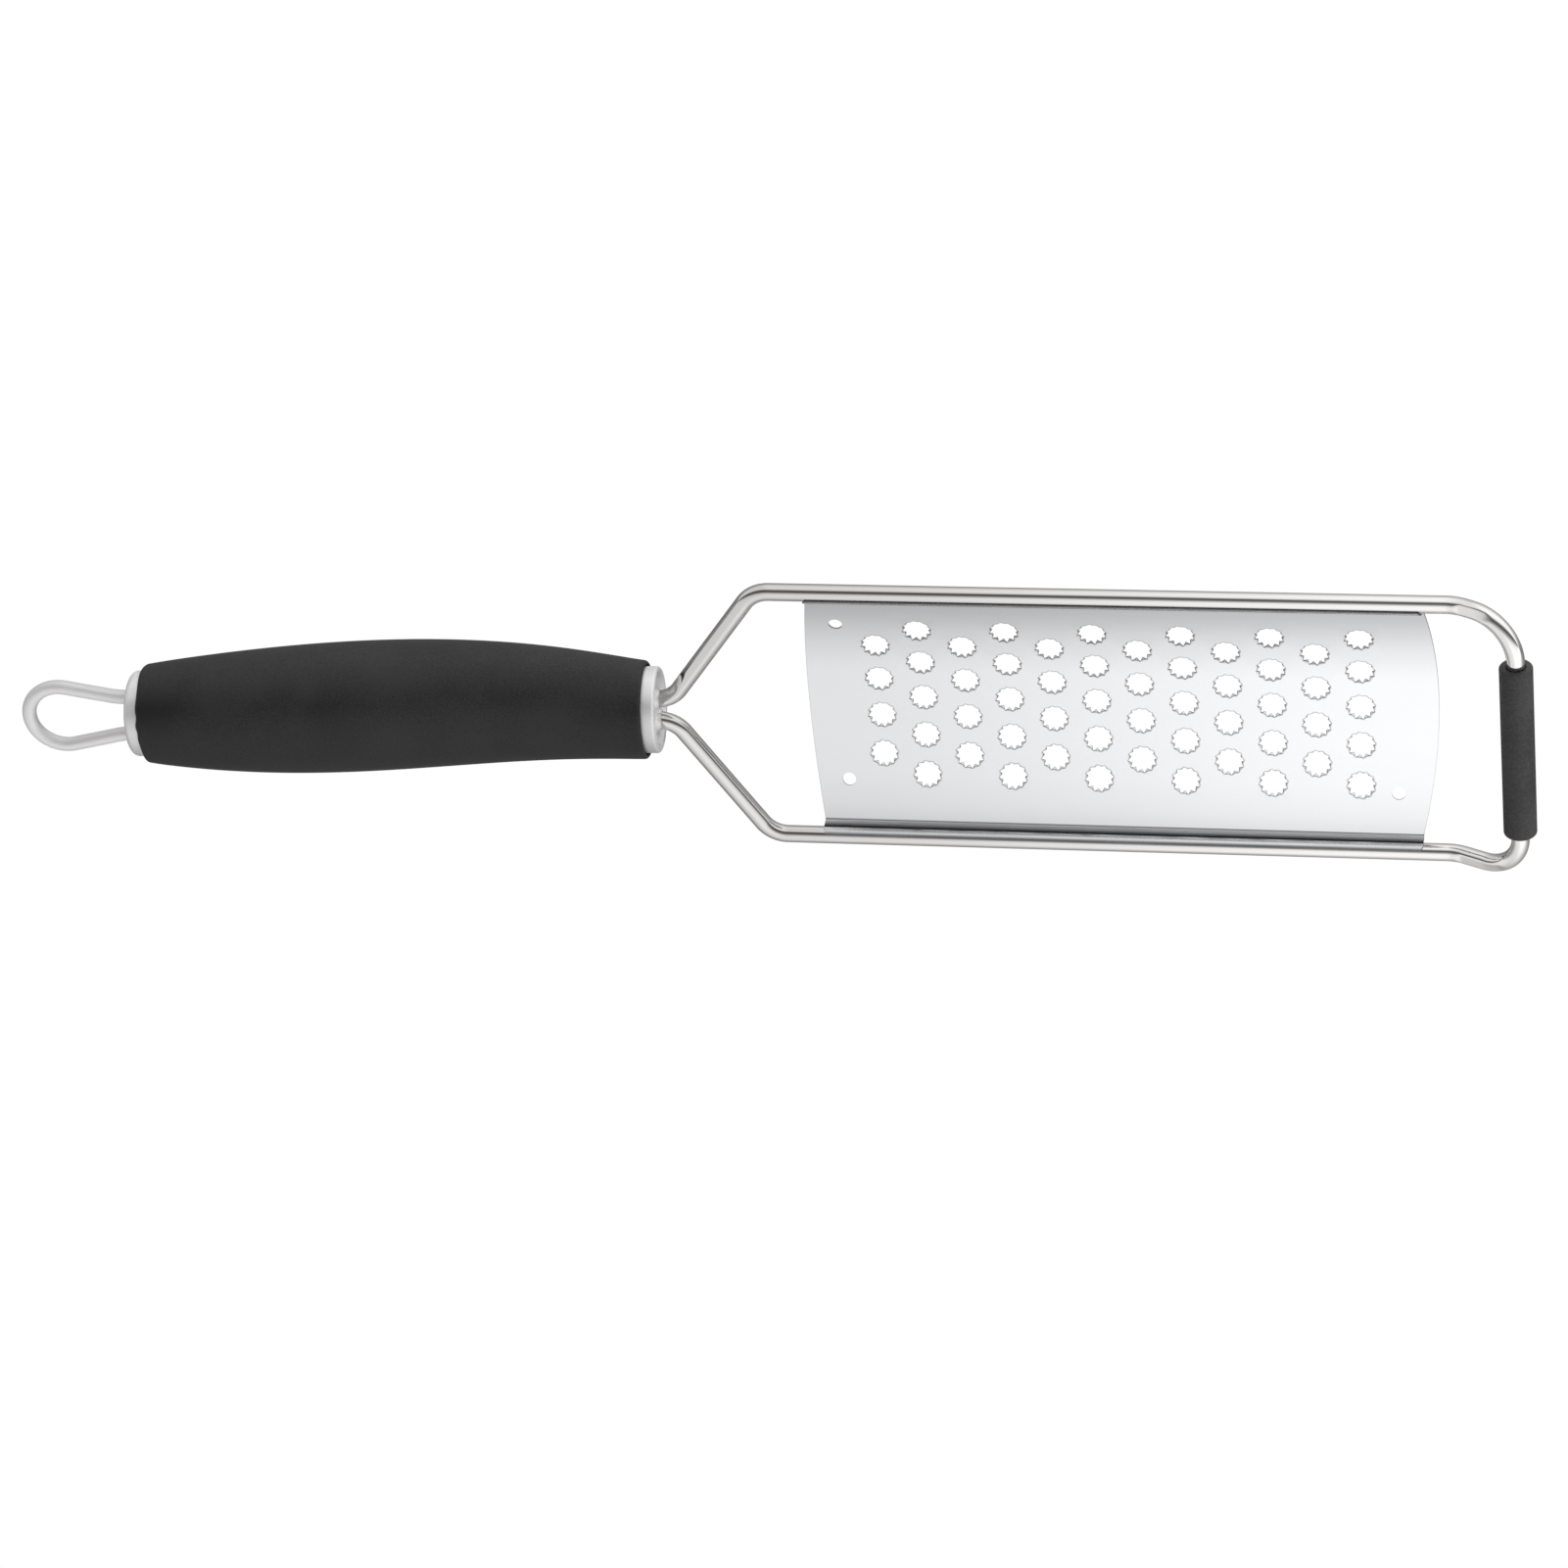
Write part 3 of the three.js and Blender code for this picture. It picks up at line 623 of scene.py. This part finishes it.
class SheetSkin:                                # both faces of the sheet, sharing their corners
    def __init__(self):
        self.bm = bmesh.new()
        self.paintedShade = self.bm.verts.layers.float.new("paintedShade")
        self.known = {}

    def corner(self, x, station, height, paintedShade=0):
        place = sheetPoint(x, station, height)
        key = tuple(round(c * blade["cornersPerMetre"]) for c in place)
        if key not in self.known:
            vert = self.bm.verts.new(place)
            vert[self.paintedShade] = paintedShade
            self.known[key] = vert
        return self.known[key]

    def face(self, corners, cut=0):
        corners = [v for i, v in enumerate(corners) if v not in corners[:i]]
        if len(corners) > 2 and not self.bm.faces.get(corners):
            made = self.bm.faces.new(corners)
            made.material_index = cut

    def skin(self, places):                     # each place is (x, station, lift, painted shade)
        self.face([self.corner(x, s, lift + sheetHalf) for x, s, lift, paintedShade in places])
        self.face([self.corner(x, s, lift - sheetHalf, paintedShade) for x, s, lift, paintedShade in reversed(places)])

    def rim(self, a, b):
        low = [self.corner(x, s, -sheetHalf) for x, s in (a, b)]
        high = [self.corner(x, s, sheetHalf) for x, s in (b, a)]
        self.face(low + high, 1)


def joinByAngle(outer, ring):                   # triangles from a cell's outline to its hole
    made = []
    o = r = 0
    while o < len(outer) or r < len(ring):
        nextOuter = outer[o + 1][0] if o + 1 < len(outer) else 2 * math.pi
        nextRing = ring[r + 1][0] if r + 1 < len(ring) else 2 * math.pi
        outerHere = outer[o % len(outer)][1]
        ringHere = ring[r % len(ring)][1]
        if r >= len(ring) or (o < len(outer) and nextOuter <= nextRing):
            made.append([outerHere, outer[(o + 1) % len(outer)][1], ringHere])
            o += 1
        else:
            made.append([outerHere, ring[(r + 1) % len(ring)][1], ringHere])
            r += 1
    return made


def starHole(sheet, xs, reaches):               # one cell, its outline on the sheet's grid
    x = (xs[0] + xs[-1]) / 2
    reach = (reaches[0] + reaches[-1]) / 2
    around = [(xs[-1], s) for s in reaches] + [(v, reaches[-1]) for v in xs[-2::-1]]
    around += [(xs[0], s) for s in reaches[-2::-1]] + [(v, reaches[0]) for v in xs[1:-1]]
    outline = []
    for px, ps in around:
        turn = math.atan2(ps - reach, px - x) % (2 * math.pi)
        outline.append((turn, (px, archStation(ps), 0, 0)))
    outline.sort(key=lambda item: item[0])
    steps = blade["toothSteps"]
    count = blade["teeth"] * steps
    pitch = 2 * math.pi / blade["teeth"]
    toothTurn = math.radians(blade["toothTurn"])
    radius = blade["notchRadius"]
    bend = math.radians(blade["toothBend"])
    bendRun = blade["bendRadius"] * bend
    length = bendRun + blade["toothReach"]
    tucked = (blade["thickness"] - blade["bendRadius"]) * math.tan(bend / 2)    # inside corner

    def onCircle(turn, ringRadius):
        return (x + ringRadius * math.cos(turn), archStation(reach + ringRadius * math.sin(turn)))

    # each tooth is a petal bent up from the sheet, narrower and thinner toward its torn edges, with
    # painted shade along them
    def petal(middle, across, run, upper):
        straight = max(run - bendRun, tucked if upper else 0)
        turned = bend if upper else min(run, bendRun) / blade["bendRadius"]
        inward = blade["bendRadius"] * math.sin(turned) + straight * math.cos(bend)
        lift = blade["bendRadius"] * (1 - math.cos(turned)) + straight * math.sin(bend)
        share = run / length
        if upper:
            share = (straight - tucked) / (blade["toothReach"] - tucked)
            thick = blade["thickness"] * (1 - (1 - blade["toothTip"]) * share)
            inward -= thick * math.sin(bend)
            lift += thick * math.cos(bend)
        half = pitch / 2 * (1 - (1 - blade["tipWidth"]) * share)
        toEdge = min(half * radius * (1 - abs(across)), length - run)
        # painted shade: darker near the torn edge, on the underside only
        paintedShade = 0 if upper else blade["tornEdgeShade"] * max(0, 1 - toEdge / blade["tornShadeWidth"])
        # painted shade: the petal's root starts the fine dark lip line
        if run == 0 and not upper:
            paintedShade = max(paintedShade, blade["lipShade"])
        root = blade["rootFlat"] * (1 - 2 * half * abs(across) / pitch)     # flat before the bend
        px, station = onCircle(middle + half * across, radius - inward - root)
        return sheet.corner(px, station, lift - sheetHalf, paintedShade)

    runs = [bendRun * k / blade["bendSteps"] for k in range(blade["bendSteps"] + 1)]
    for k in range(1, blade["reachSteps"] + 1):
        runs.append(bendRun + blade["toothReach"] * k / blade["reachSteps"])
    across = [-1 + 2 * k / steps for k in range(steps + 1)]
    brink = {False: [], True: []}
    for tooth in range(blade["teeth"]):
        middle = tooth * pitch + toothTurn
        grids = {}
        for upper in (False, True):
            grid = [[petal(middle, a, run, upper) for a in across] for run in runs]
            for low, high in zip(grid, grid[1:]):
                for k in range(steps):
                    sheet.face([low[k], low[k + 1], high[k + 1], high[k]])
            brink[upper] += grid[0][:-1]
            grids[upper] = grid
        under, top = grids[False], grids[True]
        for k in (0, -1):
            for i in range(len(runs) - 1):
                sheet.face([under[i][k], under[i + 1][k], top[i + 1][k], top[i][k]], 1)
        for k in range(steps):
            sheet.face([under[-1][k], under[-1][k + 1], top[-1][k + 1], top[-1][k]], 1)

    turns = [(k / steps - 0.5) * pitch + toothTurn for k in range(count)]
    margin = [(*onCircle(t, radius + blade["holeMargin"]), 0, 0) for t in turns]
    ring = [(t % (2 * math.pi), place) for t, place in zip(turns, margin)]
    ring.sort(key=lambda item: item[0])
    for places in joinByAngle(outline, ring):
        sheet.skin(places)
    for upper, height in ((False, -sheetHalf), (True, sheetHalf)):
        outer = [sheet.corner(px, station, height) for px, station, lift, paintedShade in margin]
        rings = [outer, brink[upper]]
        if not upper:                           # painted shade: a fine darker line along the drawn lip
            roots = [blade["rootFlat"] * (1 - abs(across[k % steps])) for k in range(count)]
            lip = [onCircle(t, radius + blade["lipShadeWidth"] - r) for t, r in zip(turns, roots)]
            rings.insert(1, [sheet.corner(px, station, height) for px, station in lip])
        for wide, tight in zip(rings, rings[1:]):
            for k in range(count):
                n = (k + 1) % count
                sheet.face([wide[k], wide[n], tight[n], tight[k]])


def makeBlade():
    sheet = SheetSkin()
    fine = blade["halfRowSteps"]
    pitch = blade["pitch"]
    most = max(blade["holes"])
    rows = [(k / fine - most) * pitch / 2 for k in range(2 * most * fine + 1)]
    sideSteps = blade["sideSteps"]
    margin = [rows[-1] + (archReach - rows[-1]) * k / sideSteps for k in range(1, sideSteps + 1)]
    reaches = [-s for s in reversed(margin)] + rows + margin
    section = hemStations(-1)[::-1] + [archStation(s) for s in reaches] + hemStations(1)
    firstRow = len(hemStations(-1)) + len(margin)
    across = 2 * fine
    lines = [(k / across - blade["columns"] / 2) * pitch for k in range(blade["columns"] * across + 1)]

    # end margins run from the hole columns to the bowed ends, with a painted-shade dark line along the
    # cut
    shares = [k / blade["endSteps"] for k in range(blade["endSteps"])]

    def endRun(sign, start, station):
        end = bladeEnd(sign, station)
        line = end - sign * blade["edgeShadeWidth"]
        return [start + (line - start) * share for share in shares] + [line, end]

    for low, high in zip(section, section[1:]):
        for sign, start in ((-1, lines[0]), (1, lines[-1])):
            stops = []
            for station in (low, high):
                run = [(x, station, 0, station[4]) for x in endRun(sign, start, station)]
                # painted shade: the last strip at the cut end is darkened
                run[-1] = (*run[-1][:3], blade["edgeShade"])
                stops.append(run)
            for k in range(len(shares) + 1):
                places = [stops[0][k], stops[0][k + 1], stops[1][k + 1], stops[1][k]]
                sheet.skin(places if sign > 0 else places[::-1])
            ends = [(bladeEnd(sign, low), low), (bladeEnd(sign, high), high)]
            sheet.rim(*(ends if sign > 0 else ends[::-1]))
    for column in range(blade["columns"]):
        holes = blade["holes"][column % 2]
        xs = lines[column * across:(column + 1) * across + 1]
        firstHole = firstRow + (most - holes) * fine
        lastHole = firstRow + (most + holes) * fine
        for k in range(len(section) - 1):
            if firstHole <= k < lastHole:
                continue
            for a, b in zip(xs, xs[1:]):
                places = [(a, section[k]), (b, section[k]), (b, section[k + 1]), (a, section[k + 1])]
                sheet.skin([(x, station, 0, station[4]) for x, station in places])
        for hole in range(holes):
            begin = (most - holes) * fine + hole * 2 * fine
            starHole(sheet, xs, rows[begin:begin + 2 * fine + 1])
    for station, order in ((section[0], 1), (section[-1], -1)):
        edge = []
        for sign, start in ((-1, lines[0]), (1, lines[-1])):
            edge += endRun(sign, start, station)
        edge = sorted(set(edge + lines))[::order]
        for a, b in zip(edge, edge[1:]):
            sheet.rim((a, station), (b, station))

    piece = finishMesh("graterBlade", sheet.bm, blade["sharpAngle"], bladeSteel)
    piece.data.materials.append(shadedCutSteel)
    cutPlainHoles(piece)
    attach(piece, "grater")
    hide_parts("grater_blade")


def cutPlainHoles(piece):
    holeX = wire["bladeHalf"] - blade["plainInset"]
    for end, side in ((-1, -1), (-1, 1), (1, 1)):
        rings = []
        for height in (-blade["plainCut"], blade["plainCut"]):
            ring = []
            for k in range(blade["plainSides"]):
                turn = 2 * math.pi * k / blade["plainSides"]
                reach = side * blade["plainReach"] + blade["plainRadius"] * math.sin(turn)
                x = end * holeX + blade["plainRadius"] * math.cos(turn)
                ring.append(sheetPoint(x, archStation(reach), height))
            rings.append(ring)
        combine(piece, loftSolid(rings), "DIFFERENCE", 1)


makeBlade()


# foot sleeve
sleeve = {"wall": 1.3, "wallRoom": 0.3, "bore": 0.12, "mouth": 0.15, "farRoom": 0.6, "nearRoom": 1.7,
          "corner": 0.45, "cornerSteps": 6, "rings": 40, "segments": 64, "sharpAngle": 40}


def makeFootSleeve():
    boreRadius = wireRadius + sleeve["bore"]
    outer = wireRadius + sleeve["wallRoom"] + sleeve["wall"]
    begin = -railHalf + wire["farFootBend"] + sleeve["farRoom"]
    end = railHalf - wire["nearFootBend"] - sleeve["nearRoom"]
    mouth, corner, steps = sleeve["mouth"], sleeve["corner"], sleeve["cornerSteps"]
    profile = [(boreRadius, begin + mouth), (boreRadius + mouth, begin)]
    profile += arcPoints(outer - corner, begin + corner, corner, 180, 90, steps)
    rings = sleeve["rings"]
    profile += [(outer, begin + (end - begin) * k / rings) for k in range(2, rings - 1)]
    profile += arcPoints(outer - corner, end - corner, corner, 90, 0, steps)
    profile += [(boreRadius + mouth, end), (boreRadius, end - mouth)]
    profile.append(profile[0])
    skew = Matrix.Rotation(-math.atan2(wire["footSkew"], wire["railSpacing"]), 3, "Z")

    def place(along, a, b):
        spot = skew @ Vector((a, along, b))
        return onRails(footX + spot.x, spot.y, -wire["footDrop"] + spot.z)

    bm = turnProfile(profile, sleeve["segments"], place)
    piece = finishMesh("footSleeve", bm, sleeve["sharpAngle"], sleeveRubber)
    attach(piece, "foot_sleeve")
    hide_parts("foot_sleeve")


makeFootSleeve()


# grip
grip = {"endRadius": 10.55, "swell": 3.6, "swellSkew": 1.23, "swellFullness": 0.85,
        "frontRound": 0.75, "mouth": 0.7, "mouthDepth": 2.2, "mouthSet": 0.1, "seatRoom": 0.06,
        "rearRound": 1.3, "rearTurn": 165, "rearSet": 0.15, "rearSeat": 5,
        "bore": 8.4, "boreRear": 6.4, "boreFront": 3.5,
        "segments": 144, "rings": 90, "frontSteps": 6, "rearSteps": 7, "sharpAngle": 50,
        "waver": [(0.12, 2, 40), (0.07, 5, 110)], "waverReach": 3,       # size, waves, phase
        "nicks": [(-117, 8, 0.35), (-98, 6, 0.25), (-66, 38, 0.55), (-148, 25, 0.15)]}
gripFront = -handle["frontShow"]
gripRear = gripFront - handle["gripLength"]
ferruleRadius = 9.3


def gripRadius(x):
    along = min(max((gripFront - x) / handle["gripLength"], 0), 0.9999)
    swell = math.sin(math.pi * along ** grip["swellSkew"]) ** grip["swellFullness"]
    return grip["endRadius"] + grip["swell"] * swell


def onAxis(along, a, b):
    return onHandle(along, a, b + archAt(along))


def onGrip(along, a, b):                        # the trimmed rear edge is a little uneven
    fade = min(max((gripRear + grip["waverReach"] - along) / grip["waverReach"], 0), 1)
    turn = math.degrees(math.atan2(b, a))
    waver = 0
    for size, waves, phase in grip["waver"]:
        waver += size * math.sin(math.radians(waves * turn + phase))
    for middle, width, size in grip["nicks"]:
        waver += size * math.exp(-((turn - middle) / width) ** 2)
    return onAxis(along + waver * fade, a, b)


def makeGrip():
    seat = ferruleRadius + grip["seatRoom"]
    front = gripFront - grip["frontRound"]
    rear = gripRear + grip["rearRound"]
    mouth = seat + grip["mouth"]
    profile = [(seat, gripFront - grip["mouthDepth"]), (mouth, gripFront - grip["mouthSet"])]
    size = grip["frontRound"]
    profile += arcPoints(gripRadius(front) - size, front, size, 0, 90, grip["frontSteps"])
    for k in range(1, grip["rings"]):
        x = front + (rear - front) * k / grip["rings"]
        profile.append((gripRadius(x), x))
    size = grip["rearRound"]
    profile += arcPoints(gripRadius(rear) - size, rear, size, 90, grip["rearTurn"], grip["rearSteps"])
    profile += [(seat, gripRear + grip["rearSet"]), (seat, gripRear + grip["rearSeat"])]
    bore = grip["bore"]
    profile += [(bore, gripRear + grip["boreRear"]), (bore, gripFront - grip["boreFront"])]
    profile.append(profile[0])
    bm = turnProfile(profile, grip["segments"], onGrip)
    piece = finishMesh("grip", bm, grip["sharpAngle"], gripRubber)
    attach(piece, "grater")
    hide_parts("grip")


makeGrip()


# ferrules
ferrule = {
    "wall": 0.9, "round": 0.7, "boreRoom": 0.08, "segments": 112, "barSides": 48, "sharpAngle": 35,
    "frontDish": 1.2, "frontSkirt": 3.1, "bandEnd": 0.5, "frontBore": (-6, 3), "roundSteps": 8,
    "rim": 1.5, "rimRound": 0.5, "rimSet": 0.1, "rimTurn": -60, "rimSteps": 5,
    "dishBend": 0.9, "dishFall": 0.82, "dishFloor": 2.2,
    "flareRadius": 3.4, "flareRound": 1.35, "flareRise": 0.15, "flareSink": 0.4, "flareSteps": 8,
    "rearSkirt": 6, "rearFlat": 0.5, "rearBore": 3, "rearSteps": 10,
}


def roundBar(profile, y, z):                    # a turned bar along the handle, off its axis
    rings = []
    for radius, along in profile:
        ring = []
        for k in range(ferrule["barSides"]):
            turn = 2 * math.pi * k / ferrule["barSides"]
            ring.append(onHandle(along, y + radius * math.cos(turn), z + radius * math.sin(turn)))
        rings.append(ring)
    return loftSolid(rings)


def makeFrontFerrule():
    size = ferrule["round"]
    inner = ferruleRadius - ferrule["wall"]
    skirtEnd = gripFront - ferrule["frontSkirt"]
    dish = ferrule["frontDish"]
    back = -dish - ferrule["wall"]
    rim = ferruleRadius - ferrule["rim"]        # a rolled rim stands round the dish
    roll, rimTurn = ferrule["rimRound"], ferrule["rimTurn"]
    profile = [(0, back), (inner, back), (inner, skirtEnd), (ferruleRadius, skirtEnd)]
    profile += [(ferruleRadius, gripFront - ferrule["bandEnd"])]
    profile += arcPoints(ferruleRadius - size, -size, size, 90, 0, ferrule["roundSteps"])
    profile += arcPoints(rim + ferrule["rimSet"], -roll, roll, 0, rimTurn, ferrule["rimSteps"])
    profile += [(rim - ferrule["dishBend"], -dish * ferrule["dishFall"])]
    profile += [(rim - ferrule["dishFloor"], -dish), (0, -dish)]
    bm = turnProfile(profile, ferrule["segments"], onAxis)
    piece = finishMesh("frontFerrule", bm, ferrule["sharpAngle"], ferruleMetal)
    wide, drawn, steps = ferrule["flareRadius"], ferrule["flareRound"], ferrule["flareSteps"]
    flare = [(wide, -dish - ferrule["flareSink"])]      # metal drawn up round each wire
    for k in range(steps + 1):
        turn = math.radians(90 * k / steps)
        flare.append((wide - drawn * math.sin(turn), ferrule["flareRise"] - drawn * math.cos(turn)))
    bore = [(wireRadius + ferrule["boreRoom"], along) for along in ferrule["frontBore"]]
    for y in (-tailHalf, tailHalf):
        combine(piece, roundBar(flare, y, 0), "UNION")
    for y in (-tailHalf, tailHalf):
        combine(piece, roundBar(bore, y, 0), "DIFFERENCE")
    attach(piece, "grater")
    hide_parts("front_ferrule")


def makeRearFerrule():
    rear = -handleLength
    size = 2 * ferrule["round"]
    inner = ferruleRadius - ferrule["wall"]
    skirtEnd = gripRear + ferrule["rearSkirt"]
    profile = [(0, rear), (ferruleRadius * ferrule["rearFlat"], rear)]
    profile += arcPoints(ferruleRadius - size, rear + size, size, 180, 90, ferrule["rearSteps"])
    profile += [(ferruleRadius, gripRear), (ferruleRadius, skirtEnd), (inner, skirtEnd)]
    profile += [(inner, rear + ferrule["wall"]), (0, rear + ferrule["wall"])]
    bm = turnProfile(profile, ferrule["segments"], onAxis)
    piece = finishMesh("rearFerrule", bm, ferrule["sharpAngle"], endCapMetal)
    legHalf = loop["legSpacing"] / 2
    boreRadius = loop["wire"] / 2 + ferrule["boreRoom"]
    bore = [(boreRadius, rear - ferrule["rearBore"]), (boreRadius, rear + ferrule["rearBore"])]
    for y in (-legHalf, legHalf):
        combine(piece, roundBar(bore, y, -loop["legDrop"]), "DIFFERENCE")
    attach(piece, "grater")
    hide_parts("rear_ferrule")


# hanging loop
loop = {"wire": 3.1, "legSpacing": 9.5, "legDepth": 22, "legDrop": 0.7, "reach": 24.7, "width": 18,
        "flareRoom": 2.6, "flareBend": 16, "sides": 44}


def makeHangingLoop():
    rear = -handleLength
    legHalf = loop["legSpacing"] / 2
    loopRadius = (loop["width"] - loop["wire"]) / 2
    flareX = rear - loop["flareRoom"]
    endX = rear - loop["reach"] + loop["wire"] / 2
    centreX = endX + loopRadius
    away = math.hypot(flareX - centreX, legHalf)
    flare = math.asin(loopRadius / away) - math.atan2(legHalf, flareX - centreX)
    endHalf = legHalf + (flareX - endX) * math.tan(flare)

    def side(sign):
        return [
            (onHandle(rear + loop["legDepth"], sign * legHalf, -loop["legDrop"]), None),
            (onHandle(flareX, sign * legHalf, -loop["legDrop"]), loop["flareBend"]),
            (onHandle(endX, sign * endHalf, -loop["legDrop"]), loopRadius),
        ]

    bm = sweepWire(wireRoute(side(-1) + side(1)[::-1]), loop["wire"] / 2 * mm, loop["sides"])
    piece = finishMesh("hangingLoop", bm, wire["sharpAngle"], loopSteel)
    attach(piece, "grater")
    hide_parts("hanging_loop")


makeFrontFerrule()
makeRearFerrule()
makeHangingLoop()

core = frame["nodes"]["handle_core"]
core.data.materials.clear()
core.data.materials.append(corePlastic)
print("pieces ready")


# floor: seen from above, clear from below, and no bar to light
floorLook = {"size": 8, "steps": 12, "drop": 0.0004,
             "colour": (0.64, 0.64, 0.64), "roughness": 0.9, "gloss": 0.1}


def makeFloor():
    bm = bmesh.new()
    half = floorLook["size"] / 2
    steps = floorLook["steps"]
    grid = [[bm.verts.new((half * (2 * i / steps - 1), half * (2 * j / steps - 1), -floorLook["drop"]))
             for i in range(steps + 1)] for j in range(steps + 1)]
    for j in range(steps):
        for i in range(steps):
            bm.faces.new((grid[j][i], grid[j][i + 1], grid[j + 1][i + 1], grid[j + 1][i]))
    mesh = bpy.data.meshes.new("floor")
    bm.to_mesh(mesh)
    bm.free()
    floor = bpy.data.objects.new("floor", mesh)
    scene.collection.objects.link(floor)
    material, tree, shader = newMaterial("floorPaper", floorLook["colour"], floorLook["roughness"], 0)
    shader.inputs["Specular IOR Level"].default_value = floorLook["gloss"]
    rays = addNode(tree, "ShaderNodeLightPath")
    facing = addNode(tree, "ShaderNodeNewGeometry").outputs["Backfacing"]
    above = mathNode(tree, "SUBTRACT", 1, facing)
    shown = mathNode(tree, "MULTIPLY", rays.outputs["Is Camera Ray"], above)
    clear = addNode(tree, "ShaderNodeBsdfTransparent")
    mix = addNode(tree, "ShaderNodeMixShader")
    tree.links.new(shown, mix.inputs[0])
    tree.links.new(clear.outputs[0], mix.inputs[1])
    tree.links.new(shader.outputs[0], mix.inputs[2])
    tree.links.new(mix.outputs[0], tree.nodes["Material Output"].inputs["Surface"])
    mesh.materials.append(material)


makeFloor()


# world: white to the camera, and a soft tent for the metal, darker round the lens and at the far side
tent = {
    "stops": [                                  # bearing in degrees from straight down, and level
        (-180, 0.34), (-163, 0.42), (-145, 0.6), (-130, 0.82), (-118, 0.95), (-100, 1.02), (-80, 1.0),
        (-69, 0.88), (-61, 0.52), (-53, 0.18), (-46, 0.07), (-37, 0.1), (-29, 0.24), (-21, 0.4),
        (-13, 0.74), (-5, 0.94), (6, 1.02), (20, 1.04), (45, 1.03), (58, 0.85), (70, 0.62), (82, 0.49),
        (95, 0.4), (110, 0.33), (128, 0.24), (150, 0.2), (168, 0.27), (180, 0.34)],
    "leftFrom": -0.45, "rightTo": 0.12, "leftShade": 0.85, "rightShade": 1.14, "fill": 0.75,
}


def makeWorld():
    world = bpy.data.worlds.new("studio")
    scene.world = world
    world.use_nodes = True
    tree = world.node_tree
    tree.nodes.clear()
    way = addNode(tree, "ShaderNodeTexCoord").outputs["Generated"]
    parts = addNode(tree, "ShaderNodeSeparateXYZ")
    tree.links.new(way, parts.inputs[0])
    down = mathNode(tree, "MULTIPLY", parts.outputs["Z"], -1)
    bearing = mathNode(tree, "ARCTAN2", parts.outputs["Y"], down)
    place = addNode(tree, "ShaderNodeMapRange")
    tree.links.new(bearing, place.inputs["Value"])
    for socket, number in zip(place.inputs[1:5], (-math.pi, math.pi, 0, 1)):
        socket.default_value = number
    ramp = addNode(tree, "ShaderNodeValToRGB")
    ramp.color_ramp.interpolation = "LINEAR"
    stops = ramp.color_ramp.elements
    while len(stops) < len(tent["stops"]):
        stops.new(0.5)
    for stop, (degrees, level) in zip(stops, tent["stops"]):
        stop.position = (degrees + 180) / 360
        stop.color = (level, level, level, 1)
    tree.links.new(place.outputs["Result"], ramp.inputs["Fac"])
    shade = rangeNode(tree, parts.outputs["X"], tent["leftFrom"], tent["rightTo"],
                      tent["leftShade"], tent["rightShade"])
    tentLight = addNode(tree, "ShaderNodeBackground")
    tree.links.new(ramp.outputs["Color"], tentLight.inputs["Color"])
    tree.links.new(shade, tentLight.inputs["Strength"])
    fill = addNode(tree, "ShaderNodeBackground")
    fill.inputs["Strength"].default_value = tent["fill"]
    white = addNode(tree, "ShaderNodeBackground")
    for light in (fill, white):
        light.inputs["Color"].default_value = (1, 1, 1, 1)
    rays = addNode(tree, "ShaderNodeLightPath")
    forMetal = addNode(tree, "ShaderNodeMixShader")
    forCamera = addNode(tree, "ShaderNodeMixShader")
    tree.links.new(rays.outputs["Is Glossy Ray"], forMetal.inputs[0])
    tree.links.new(fill.outputs[0], forMetal.inputs[1])
    tree.links.new(tentLight.outputs[0], forMetal.inputs[2])
    seen = mathNode(tree, "MAXIMUM", rays.outputs["Is Camera Ray"], rays.outputs["Is Transmission Ray"])
    tree.links.new(seen, forCamera.inputs[0])
    tree.links.new(forMetal.outputs[0], forCamera.inputs[1])
    tree.links.new(white.outputs[0], forCamera.inputs[2])
    out = addNode(tree, "ShaderNodeOutputWorld")
    tree.links.new(forCamera.outputs[0], out.inputs["Surface"])


makeWorld()

lamps = {
    "overhead": {"place": (0.2, -1, 2.2), "size": 1.8, "power": 36},
    "under": {"place": (0.3, -0.2, -0.9), "size": 0.8, "power": 2.5},
    "side": {"place": (0.1, -2.1, 1.44), "size": 1.6, "power": 52},
    "front": {"place": (2.4, -0.8, -0.6), "size": 1.6, "power": 64},
}


def makeLamp(name, look):
    light = bpy.data.lights.new(name, "AREA")
    light.shape = "DISK"
    light.size = look["size"]
    light.energy = look["power"]
    lamp = bpy.data.objects.new(name, light)
    scene.collection.objects.link(lamp)
    lamp.location = look["place"]
    lamp.rotation_euler = (-Vector(look["place"])).to_track_quat("-Z", "Y").to_euler()
    lamp.visible_glossy = False


for name, look in lamps.items():
    makeLamp(name, look)


# camera: below the grater, looking up at its hollow side
view = {"place": (0.16767, -0.55121, -0.80328), "right": (0.98653, 0.08341, 0.14071),
        "up": (-0.01184, -0.82158, 0.56997), "focalPixels": 4800, "framePixels": 1601, "sensor": 36,
        "clipStart": 0.01}


def makeCamera():
    data = bpy.data.cameras.new("camera")
    data.sensor_width = view["sensor"]
    data.lens = view["focalPixels"] / view["framePixels"] * view["sensor"]
    data.clip_start = view["clipStart"]
    camera = bpy.data.objects.new("camera", data)
    scene.collection.objects.link(camera)
    right = Vector(view["right"]).normalized()
    up = Vector(view["up"]).normalized()
    back = right.cross(up)
    turn = Matrix((right, up, back)).transposed().to_4x4()
    camera.matrix_world = Matrix.Translation(view["place"]) @ turn
    scene.camera = camera


makeCamera()
scene.view_settings.view_transform = "Standard"

print("scene ready")
